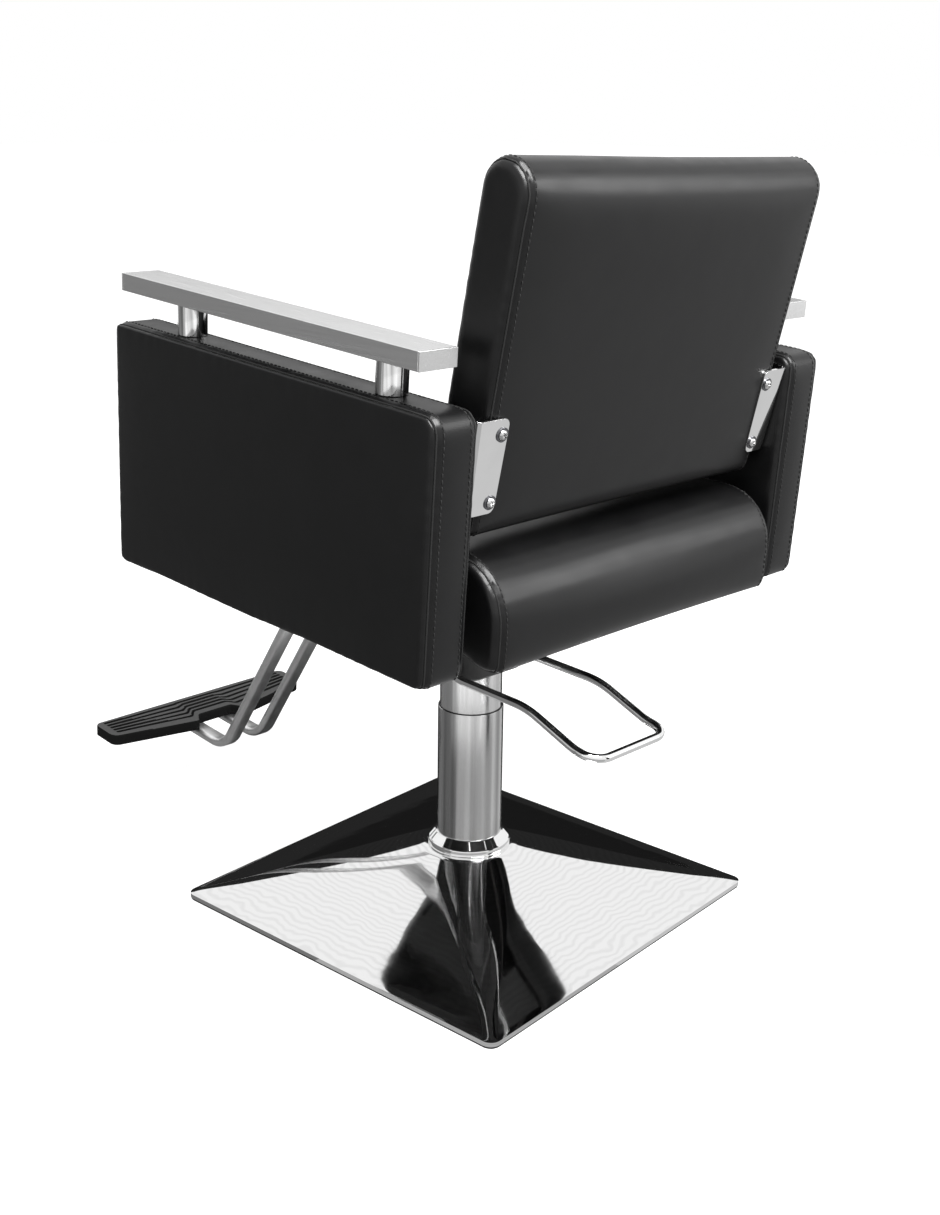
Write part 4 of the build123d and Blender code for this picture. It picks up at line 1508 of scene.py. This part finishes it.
# ---------------------------------------------------------------- arms
@dataclass
class ArmRests:
    """The flat bars over the arm panels, their end plates and their posts."""

    finishes: Finishes
    bar_x: float = 0.2805
    width: float = 0.048
    height: float = 0.019
    low_z: float = 0.735
    front_y: float = -0.267
    rear_y: float = 0.212
    wall: float = 0.002
    post_x: float = 0.278
    post_r: float = 0.016
    post_bore_r: float = 0.0135
    post_ys: Point2 = (-0.172, 0.148)
    post_low: float = 0.701
    bar_edge: float = 0.0006
    plate_edge: float = 0.0005
    post_edge: float = 0.0004
    plug: float = 0.012
    plug_gap: float = 0.00005

    def build(self) -> None:
        """Builds bars, end plates and posts."""
        metal = self.finishes["brushed_aluminium"]
        for side in Side:
            bar = make_piece(f"arm_rail_{side.label}", *self._bar(side), metal, 30)
            fit(bevelled(bar, self.bar_edge), f"arm_bar_{side.label}")
        plates = [self._plate(side, y, inward) for side in Side
                  for y, inward in ((self.front_y, 1), (self.rear_y, -1))]
        ends = make_piece("arm_rail_ends", *merged(plates), metal, 30)
        fit(bevelled(ends, self.plate_edge), "bar_end_caps")
        wall = tube_wall(self.post_r, self.post_bore_r, self.post_low, self.low_z, self.post_edge)
        posts = [lathe(wall, 64, leaned, Vector((side.value * self.post_x, y, 0)))
                 for side in Side for y in self.post_ys]
        piece = make_piece("arm_rail_posts", *merged(posts), self.finishes["drawn_chrome"], 40)
        fit(piece, "arm_posts")

    def _section(self, side: Side, inset: float, y: float) -> Ring:
        """The bar's rectangular section at one place along it.

        Args:
            side: The side of the chair.
            inset: How far it is drawn in all round.
            y: Its place along the level bar.

        Returns:
            The four corners.
        """
        x = side.value * self.bar_x
        half = self.width / 2 - inset
        low = self.low_z + inset
        high = self.low_z + self.height - inset
        return [leaned(Vector((x + u, y, z)))
                for u, z in ((-half, low), (half, low), (half, high), (-half, high))]

    def _bar(self, side: Side) -> Skin:
        """A rectangular tube between its end plates.

        Args:
            side: The side of the chair.

        Returns:
            The points and the faces.
        """
        y0 = self.front_y + self.wall
        y1 = self.rear_y - self.wall
        rings = [self._section(side, 0, y0), self._section(side, 0, y1),
                 self._section(side, self.wall, y1), self._section(side, self.wall, y0)]
        return skin(rings, looped=True)

    def _plate(self, side: Side, y: float, inward: int) -> Skin:
        """An end plate with the plug that grips inside the bar.

        Args:
            side: The side of the chair.
            y: Its outer face.
            inward: Direction of the plug along Y.

        Returns:
            The points and the faces.
        """
        clear = self.wall + self.plug_gap
        seat_y = y + inward * self.wall
        return skin([self._section(side, 0.0, y), self._section(side, 0.0, seat_y),
                     self._section(side, clear, seat_y), self._section(side, clear, y + inward * self.plug)])


# ---------------------------------------------------------------- back brackets
@dataclass
class Brackets:
    """Chromed angle plates that carry the back between the arms, and their screws.

    Attributes:
        inner_x: Edge of the plate behind the back.
        outer_x: Face that lies along the arm panel.
        thick: Thickness of the plate.
        low: Height of its foot on the back.
        high: Height of its top on the back.
        depth: How far it reaches forward along the arm panel.
        corner: Rounding of its corners.
        bend_high: Bend radius at its top.
        bend_low: Bend radius at its foot.
        screw_x: How far out the screws stand.
        screw_zs: Heights of the screws on the back.
        head_profile: (share of the radius, height) round the screw's head.
        socket_r: Half of the socket's width across its flats.
        socket_zs: Heights of the socket's mouth and floor.
        gap: Hair's breadth left between touching faces.
    """

    finishes: Finishes
    inner_x: float = 0.205
    outer_x: float = 0.2477
    thick: float = 0.003
    low: float = 0.030
    high: float = 0.128
    depth: float = 0.045
    corner: float = 0.008
    bend_high: float = 0.007
    bend_low: float = 0.016
    screw_x: float = 0.213
    screw_zs: Point2 = (0.042, 0.112)
    head_r: float = 0.0055
    head_profile: tuple[Point2, ...] = ((0.97, 0.0), (1.0, 0.0005), (0.86, 0.0018), (0.62, 0.0027),
                                        (0.5, 0.0029))
    socket_r: float = 0.0022
    socket_zs: Point2 = (0.0028, 0.0008)
    washer_r: float = 0.0075
    washer_bore_r: float = 0.0032
    washer_t: float = 0.0016
    gap: float = 0.0001
    washer_edge: float = 0.0003
    plate_edge: float = 0.0004

    def build(self) -> None:
        """Builds both plates, then the screws and washers on them."""
        chrome = self.finishes["bright_chrome"]
        for side in Side:
            plate = make_piece(f"back_plate_{side.label}", *skin(self._rings(side)), chrome, 35)
            bevelled(plate, self.plate_edge, 2)
            fit(plate, f"back_bracket_{side.label}")
        origin = reclined(Vector())
        facing = reclined(Vector((0, 1, 0))) - origin
        # The washers take dark_washer, whose dark grey is painted shade round the screw heads.
        for name, node, shape, lift, finish in (
                ("bracket_screw_heads", "bracket_screws", self._head(), self.washer_t, "satin_steel"),
                ("bracket_screw_washers", "bracket_washers", self._washer(), 0.0, "dark_washer")):
            spots = [[(reclined(Vector((side.value * self.screw_x, self.thick + lift, z))), facing)]
                     for side in Side for z in self.screw_zs]
            piece = Repeater(Spread.AT_POINTS).set_out(name, spots, shape, self.finishes[finish])
            piece.data.set_sharp_from_angle(angle=math.radians(35))
            fit(piece, node)

    def _rings(self, side: Side) -> list[Ring]:
        """The angle's section at each height, its bend opening towards the foot.

        Args:
            side: The side of the chair.

        Returns:
            The rings, from the foot up.
        """
        steps, bend_steps = 40, 8
        rings = []
        for k in range(steps + 1):
            share = 0.5 - 0.5 * math.cos(math.pi * k / steps)
            z = self.low + (self.high - self.low) * share
            to_end = min(z - self.low, self.high - z)
            cut = 0.0
            if to_end < self.corner:
                cut = self.corner - math.sqrt(max(0.0, self.corner ** 2 - (self.corner - to_end) ** 2))
            bend = self.bend_low + (self.bend_high - self.bend_low) * share
            centre = Vector((self.outer_x - bend, self.thick - bend))
            outer, inner = [], []
            for step in range(bend_steps + 1):
                angle = math.pi / 2 * (1 - step / bend_steps)
                arm = Vector((math.cos(angle), math.sin(angle)))
                outer.append(centre + arm * bend)
                inner.append(centre + arm * (bend - self.thick + self.gap))
            path = [Vector((self.inner_x + cut, self.thick)), *outer,
                    Vector((self.outer_x, -self.depth + cut)),
                    Vector((self.outer_x - self.thick, -self.depth + cut)), *reversed(inner),
                    Vector((self.inner_x + cut, self.gap))]
            rings.append([reclined(Vector((side.value * p.x, p.y, z))) for p in path])
        return rings

    def _head(self) -> bpy.types.Object:
        """A button head with a hexagon socket, standing on its washer.

        Returns:
            The head, drawn at the origin.
        """
        count = 24
        flat = math.tau / 6
        rings = []
        for share, height in self.head_profile:
            rings.append([Vector((x, y, height)) for x, y in circle(self.head_r * share, count)])
        for height in self.socket_zs:
            ring = []
            for k in range(count):
                angle = math.tau * k / count
                local = (angle + flat / 2) % flat - flat / 2
                reach = self.socket_r / math.cos(local)
                ring.append(Vector((reach * math.cos(angle), reach * math.sin(angle), height)))
            rings.append(ring)
        return make_piece("button_head", *skin(rings), self.finishes["satin_steel"])

    def _washer(self) -> bpy.types.Object:
        """A flat washer with a broken edge.

        Returns:
            The washer, drawn at the origin.
        """
        top = self.washer_t - self.gap
        section = [(self.washer_r, self.gap), (self.washer_r, top - self.washer_edge),
                   (self.washer_r - self.washer_edge, top), (self.washer_bore_r + 0.0002, top),
                   (self.washer_bore_r, self.gap)]
        return make_piece("washer", *lathe(section, 32), self.finishes["satin_steel"])


# ---------------------------------------------------------------- footrest
@dataclass
class Footrest:
    """Two bent flat-oval tubes with a grooved foot pad across them.

    Attributes:
        tube_x: How far each tube stands from the middle.
        tube_w: Width of the tubes.
        tube_t: Thickness of the tubes.
        run: (y, z) corners of a tube on the level seat unit.
        bends: Bend radius at its two inner corners.
        pad_y: Place of the pad's middle.
        pad_half: Half of the pad's width.
        pad_front: Its front edge, from its middle.
        pad_rear: Its rear edge, from its middle.
        pad_t: Its thickness.
        taper_from: Where its rear edge starts to run forward.
        taper_by: How far it runs forward.
        taper_end: How far before the pad's end that is reached.
        notch_half: Half of the recess's width.
        notch_depth: Depth of the recess.
        notch_in: How far inside that half width the recess starts to rise.
        notch_ease: Length over which it rises.
        groove_ts: Places of the grooves, as shares of the way back.
        groove_w: Half width of a groove, roughly.
        groove_d: Depth of a groove.
        groove_fade: Length over which a groove runs out at the pad's end.
        end_round: Rounding of the pad's corners.
        top_round: Rounding of its upper edge.
        rib_wear: How far under the top the painted light on the ribs' tops reaches.
        gap: Hair's breadth between pad and tubes.
    """

    finishes: Finishes
    tube_x: float = 0.030
    tube_w: float = 0.025
    tube_t: float = 0.0125
    run: tuple[Point2, ...] = ((-0.118, 0.4019), (-0.226, 0.4019),
                                            (-0.4435, 0.0345), (-0.574, 0.0370))
    bends: Point2 = (0.035, 0.045)
    pad_y: float = -0.539
    pad_half: float = 0.167
    pad_front: float = -0.039
    pad_rear: float = 0.039
    pad_t: float = 0.015
    taper_from: float = 0.042
    taper_by: float = 0.025
    taper_end: float = 0.006
    notch_half: float = 0.039
    notch_depth: float = 0.016
    notch_in: float = 0.012
    notch_ease: float = 0.014
    groove_ts: tuple[float, ...] = (0.16, 0.31, 0.46, 0.61, 0.76)
    groove_w: float = 0.0020
    groove_d: float = 0.0036
    groove_fade: float = 0.006
    end_round: float = 0.010
    top_round: float = 0.0025
    rib_wear: float = 0.0006
    gap: float = 0.0002

    def build(self) -> None:
        """Builds the tubes and the pad."""
        section = []
        flat = (self.tube_w - self.tube_t) / 2
        for x, y in circle(self.tube_t / 2, 28):
            section.append((x + math.copysign(flat, x), y))
        for side in Side:
            corners = [leaned(Vector((side.value * self.tube_x, y, z))) for y, z in self.run]
            line = bent_path(corners, self.bends, 14)
            tube = make_piece(f"footrest_bend_{side.label}", *sweep(line, section, Vector((1, 0, 0))),
                              self.finishes["satin_bend"], 50)
            fit(tube, f"footrest_tube_{side.label}")
        pad = make_piece("foot_pad", *self._pad(), self.finishes["rubber_black"], 40)
        self._wear_top(pad)
        fit(pad, "footrest_pad")

    def _on_tubes(self, point: Vector) -> Vector:
        """Takes a point of the flat pad to its place on the tubes.

        Args:
            point: A point of the pad, from the middle of its underside.

        Returns:
            The same point on the chair.
        """
        (y0, z0), (y1, z1) = self.run[2:]
        rise = math.atan2(z1 - z0, y0 - y1)
        z = z0 + math.tan(rise) * (y0 - self.pad_y) + self.tube_t / 2 / math.cos(rise)
        turned = Matrix.Rotation(-rise, 3, "X") @ point
        return leaned(turned + Vector((0, self.pad_y, z)))

    def _rear(self, x: float) -> float:
        """The pad's rear edge at a place across it: tapering ends and an arched recess.

        Args:
            x: The place across it.

        Returns:
            How far behind the pad's middle the edge lies.
        """
        across = abs(x)
        rear = self.pad_rear
        if across > self.taper_from:
            span = self.pad_half - self.taper_end - self.taper_from
            rear -= self.taper_by * (across - self.taper_from) / span
        arch = smooth_step((across - self.notch_half + self.notch_in) / self.notch_ease)
        return rear - self.notch_depth * (1 - arch)

    def _wear_top(self, pad: bpy.types.Object) -> None:
        """Gives the tops of the ribs between the grooves a paler copy of the rubber: painted light on the
        faces that look up.

        Args:
            pad: The built pad.
        """
        pad.data.materials.append(self.finishes["trodden_rubber"])
        base = self._on_tubes(Vector())
        up = (self._on_tubes(Vector((0, 0, 1))) - base).normalized()
        rib = self.pad_t - self.rib_wear
        for face in pad.data.polygons:
            on_top = face.normal.dot(up) > 0.9 and (face.center - base).dot(up) > rib
            face.material_index = 1 if on_top else 0

    @staticmethod
    def _rounding(distance: float, radius: float) -> float:
        """How far a rounded edge falls away at a distance in from it.

        Args:
            distance: Distance in from the edge.
            radius: Radius of the rounding.

        Returns:
            How far the surface lies under its full height there.
        """
        share = 1 - min(1.0, distance / radius)
        return radius * (1 - math.sqrt(max(0.0, 1 - share ** 2)))

    def _pad(self) -> Skin:
        """The pad as rings across its width, its top sunk along the grooves.

        Returns:
            The points and the faces.
        """
        columns, rows = 180, 66
        rings = []
        for i in range(columns + 1):
            x = -self.pad_half * math.cos(math.pi * i / columns)
            to_end = self.pad_half - abs(x)
            round_off = self._rounding(to_end, self.end_round)
            front = self.pad_front + round_off
            rear = self._rear(x) - round_off
            top, under = [], []
            for j in range(rows + 1):
                share = j / rows
                y = front + (rear - front) * share
                edge = min(share, 1 - share) * (rear - front)
                z = self.pad_t - self._rounding(edge, self.top_round)
                fade = smooth_step((to_end - self.end_round) / self.groove_fade)
                for t in self.groove_ts:
                    off = abs(y - (front + (rear - front) * t))
                    z -= self.groove_d * fade * (1 - smooth_step((off - self.groove_w * 0.4) / self.groove_w))
                top.append(self._on_tubes(Vector((x, y, z + self.gap))))
                under.append(self._on_tubes(Vector((x, y, self.gap))))
            rings.append(top + under[::-1])
        return skin(rings)


# ---------------------------------------------------------------- studio
@dataclass(frozen=True)
class SoftBox:
    """A square soft light that hangs at a spot and faces the seat; its power is in watts."""

    name: str
    spot: Triple
    size: float
    power: float


@dataclass(frozen=True)
class Card:
    """An upright sheet beside the chair; its glow is the grey that gloss sees in it."""

    name: str
    centre: Triple
    width: float
    height: float
    glow: float


@dataclass
class Studio:
    """Pale floor, soft lights, cards for gloss to reflect, and the camera.

    Attributes:
        floor_width: Width of the floor.
        floor_shade: Grey of the floor.
        floor_glow: Light that it gives off.
        quarter: Width of each quarter of the floor that gloss sees.
        quarters: (name, x direction, y direction, glow) of each quarter.
        lit: Where the soft boxes point.
    """

    eye: Vector = field(default_factory=lambda: Vector((1.2469290, 1.2465417, 0.9498214)))
    aim: Vector = field(default_factory=lambda: Vector((0.0038385, 0.0, 0.3790345)))
    roll: float = 0.0142536
    lens: float = 45.98
    sensor: float = 36.0
    floor_width: float = 60.0
    floor_shade: float = 0.45
    floor_glow: float = 0.75
    quarter: float = 4.0
    quarter_lift: float = 0.0006
    quarters: tuple[tuple[str, int, int, float], ...] = (
        ("floor_front_left", 1, -1, 0.20), ("floor_rear_right", -1, 1, 0.62),
        ("floor_behind", -1, -1, 0.01), ("floor_near", 1, 1, 0.45))
    lit: Triple = (0.0, 0.0, 0.5)
    boxes: tuple[SoftBox, ...] = (SoftBox("top_box", (0.3, 1.1, 2.4), 1.3, 115),
                                  SoftBox("rear_box", (-1.6, 1.9, 1.7), 1.2, 22))
    cards: tuple[Card, ...] = (Card("behind_card", (-1.55, -1.55, 0.62), 2.3, 1.24, 0.02),
                               Card("left_card", (1.9, -0.5, 0.70), 0.6, 1.4, 0.55),
                               Card("front_left_card", (2.0, -2.0, 0.80), 3.6, 2.0, 0.22),
                               Card("right_card", (-0.6, 2.1, 0.70), 0.5, 1.4, 0.02))

    def build(self) -> None:
        """Sets up the whole studio."""
        self._camera()
        self._world()
        self._floor()
        self._lights()
        bpy.context.scene.view_settings.view_transform = "Standard"

    def _camera(self) -> None:
        """Places the camera."""
        data = bpy.data.cameras.new("camera")
        data.sensor_fit = "AUTO"
        data.sensor_width = self.sensor
        data.lens = self.lens
        data.clip_end = 50
        camera = bpy.data.objects.new("camera", data)
        bpy.context.scene.collection.objects.link(camera)
        facing = (self.aim - self.eye).to_track_quat("-Z", "Y")
        camera.rotation_mode = "QUATERNION"
        camera.location = self.eye
        camera.rotation_quaternion = facing @ Quaternion((0, 0, 1), self.roll)
        bpy.context.scene.camera = camera

    def _world(self) -> None:
        """A white room."""
        world = bpy.data.worlds.new("studio")
        world.use_nodes = True
        bpy.context.scene.world = world
        background = world.node_tree.nodes["Background"]
        background.inputs["Color"].default_value = (1, 1, 1, 1)
        background.inputs["Strength"].default_value = 1.0

    @staticmethod
    def _sheet(name: str, centre: Vector, facing: Vector, width: float, height: float,
               shade: float, glow: float = 0.0) -> bpy.types.Object:
        """A flat studio sheet of one grey, with an optional glow.

        Args:
            name: Name of the sheet.
            centre: Its middle.
            facing: Direction of its front.
            width: Its width.
            height: Its height.
            shade: Its grey.
            glow: Light that it gives off.

        Returns:
            The sheet.
        """
        turn = facing.to_track_quat("Z", "Y")
        corners = [centre + turn @ Vector((u * width / 2, v * height / 2, 0))
                   for u, v in ((-1, -1), (1, -1), (1, 1), (-1, 1))]
        nodes = Nodes(name)
        nodes.shader.inputs["Base Color"].default_value = (shade, shade, shade, 1)
        nodes.shader.inputs["Roughness"].default_value = 0.9
        nodes.shader.inputs["Specular IOR Level"].default_value = 0.0
        nodes.shader.inputs["Emission Color"].default_value = (1, 1, 1, 1)
        nodes.shader.inputs["Emission Strength"].default_value = glow
        sheet = make_piece(name, corners, [[0, 1, 2, 3]], nodes.material)
        return sheet

    def _floor(self) -> None:
        """The pale floor, and the greys that gloss sees in it on each side of the chair."""
        up = Vector((0, 0, 1))
        self._sheet("floor", Vector(), up, self.floor_width, self.floor_width, self.floor_shade,
                    self.floor_glow)
        half = self.quarter / 2
        for name, x, y, glow in self.quarters:
            middle = Vector((x * half, y * half, self.quarter_lift))
            self._gloss_only(self._sheet(name, middle, up, self.quarter, self.quarter, 0.0, glow))

    @staticmethod
    def _gloss_only(sheet: bpy.types.Object) -> None:
        """Leaves a sheet to reflections alone.

        Args:
            sheet: The sheet.
        """
        sheet.visible_camera = False
        sheet.visible_diffuse = False
        sheet.visible_shadow = False

    def _card(self, card: Card) -> None:
        """Stands up a card that faces the chair and shows in gloss alone.

        Args:
            card: The card.
        """
        middle = Vector(card.centre)
        facing = Vector((-middle.x, -middle.y, 0)).normalized()
        self._gloss_only(self._sheet(card.name, middle, facing, card.width, card.height, 0.0, card.glow))

    def _lights(self) -> None:
        """Hangs the soft boxes and stands up the cards round the chair."""
        for box in self.boxes:
            data = bpy.data.lights.new(box.name, "AREA")
            data.size = box.size
            data.energy = box.power
            light = bpy.data.objects.new(box.name, data)
            light.location = box.spot
            light.rotation_mode = "QUATERNION"
            light.rotation_quaternion = (Vector(self.lit) - Vector(box.spot)).to_track_quat("-Z", "Y")
            bpy.context.scene.collection.objects.link(light)
        for card in self.cards:
            self._card(card)


def main() -> None:
    """Builds the chair's looks in order."""
    logging.basicConfig(level=logging.INFO, format="%(message)s")
    finishes = Finishes()
    finishes.dress_frame()
    for assembly in (Base(finishes), Column(finishes), Pedal(finishes), ArmRests(finishes),
                     Brackets(finishes), Footrest(finishes), Upholstery(finishes), Studio()):
        log.info("building %s", type(assembly).__name__)
        assembly.build()


if __name__ == "__main__":
    main()
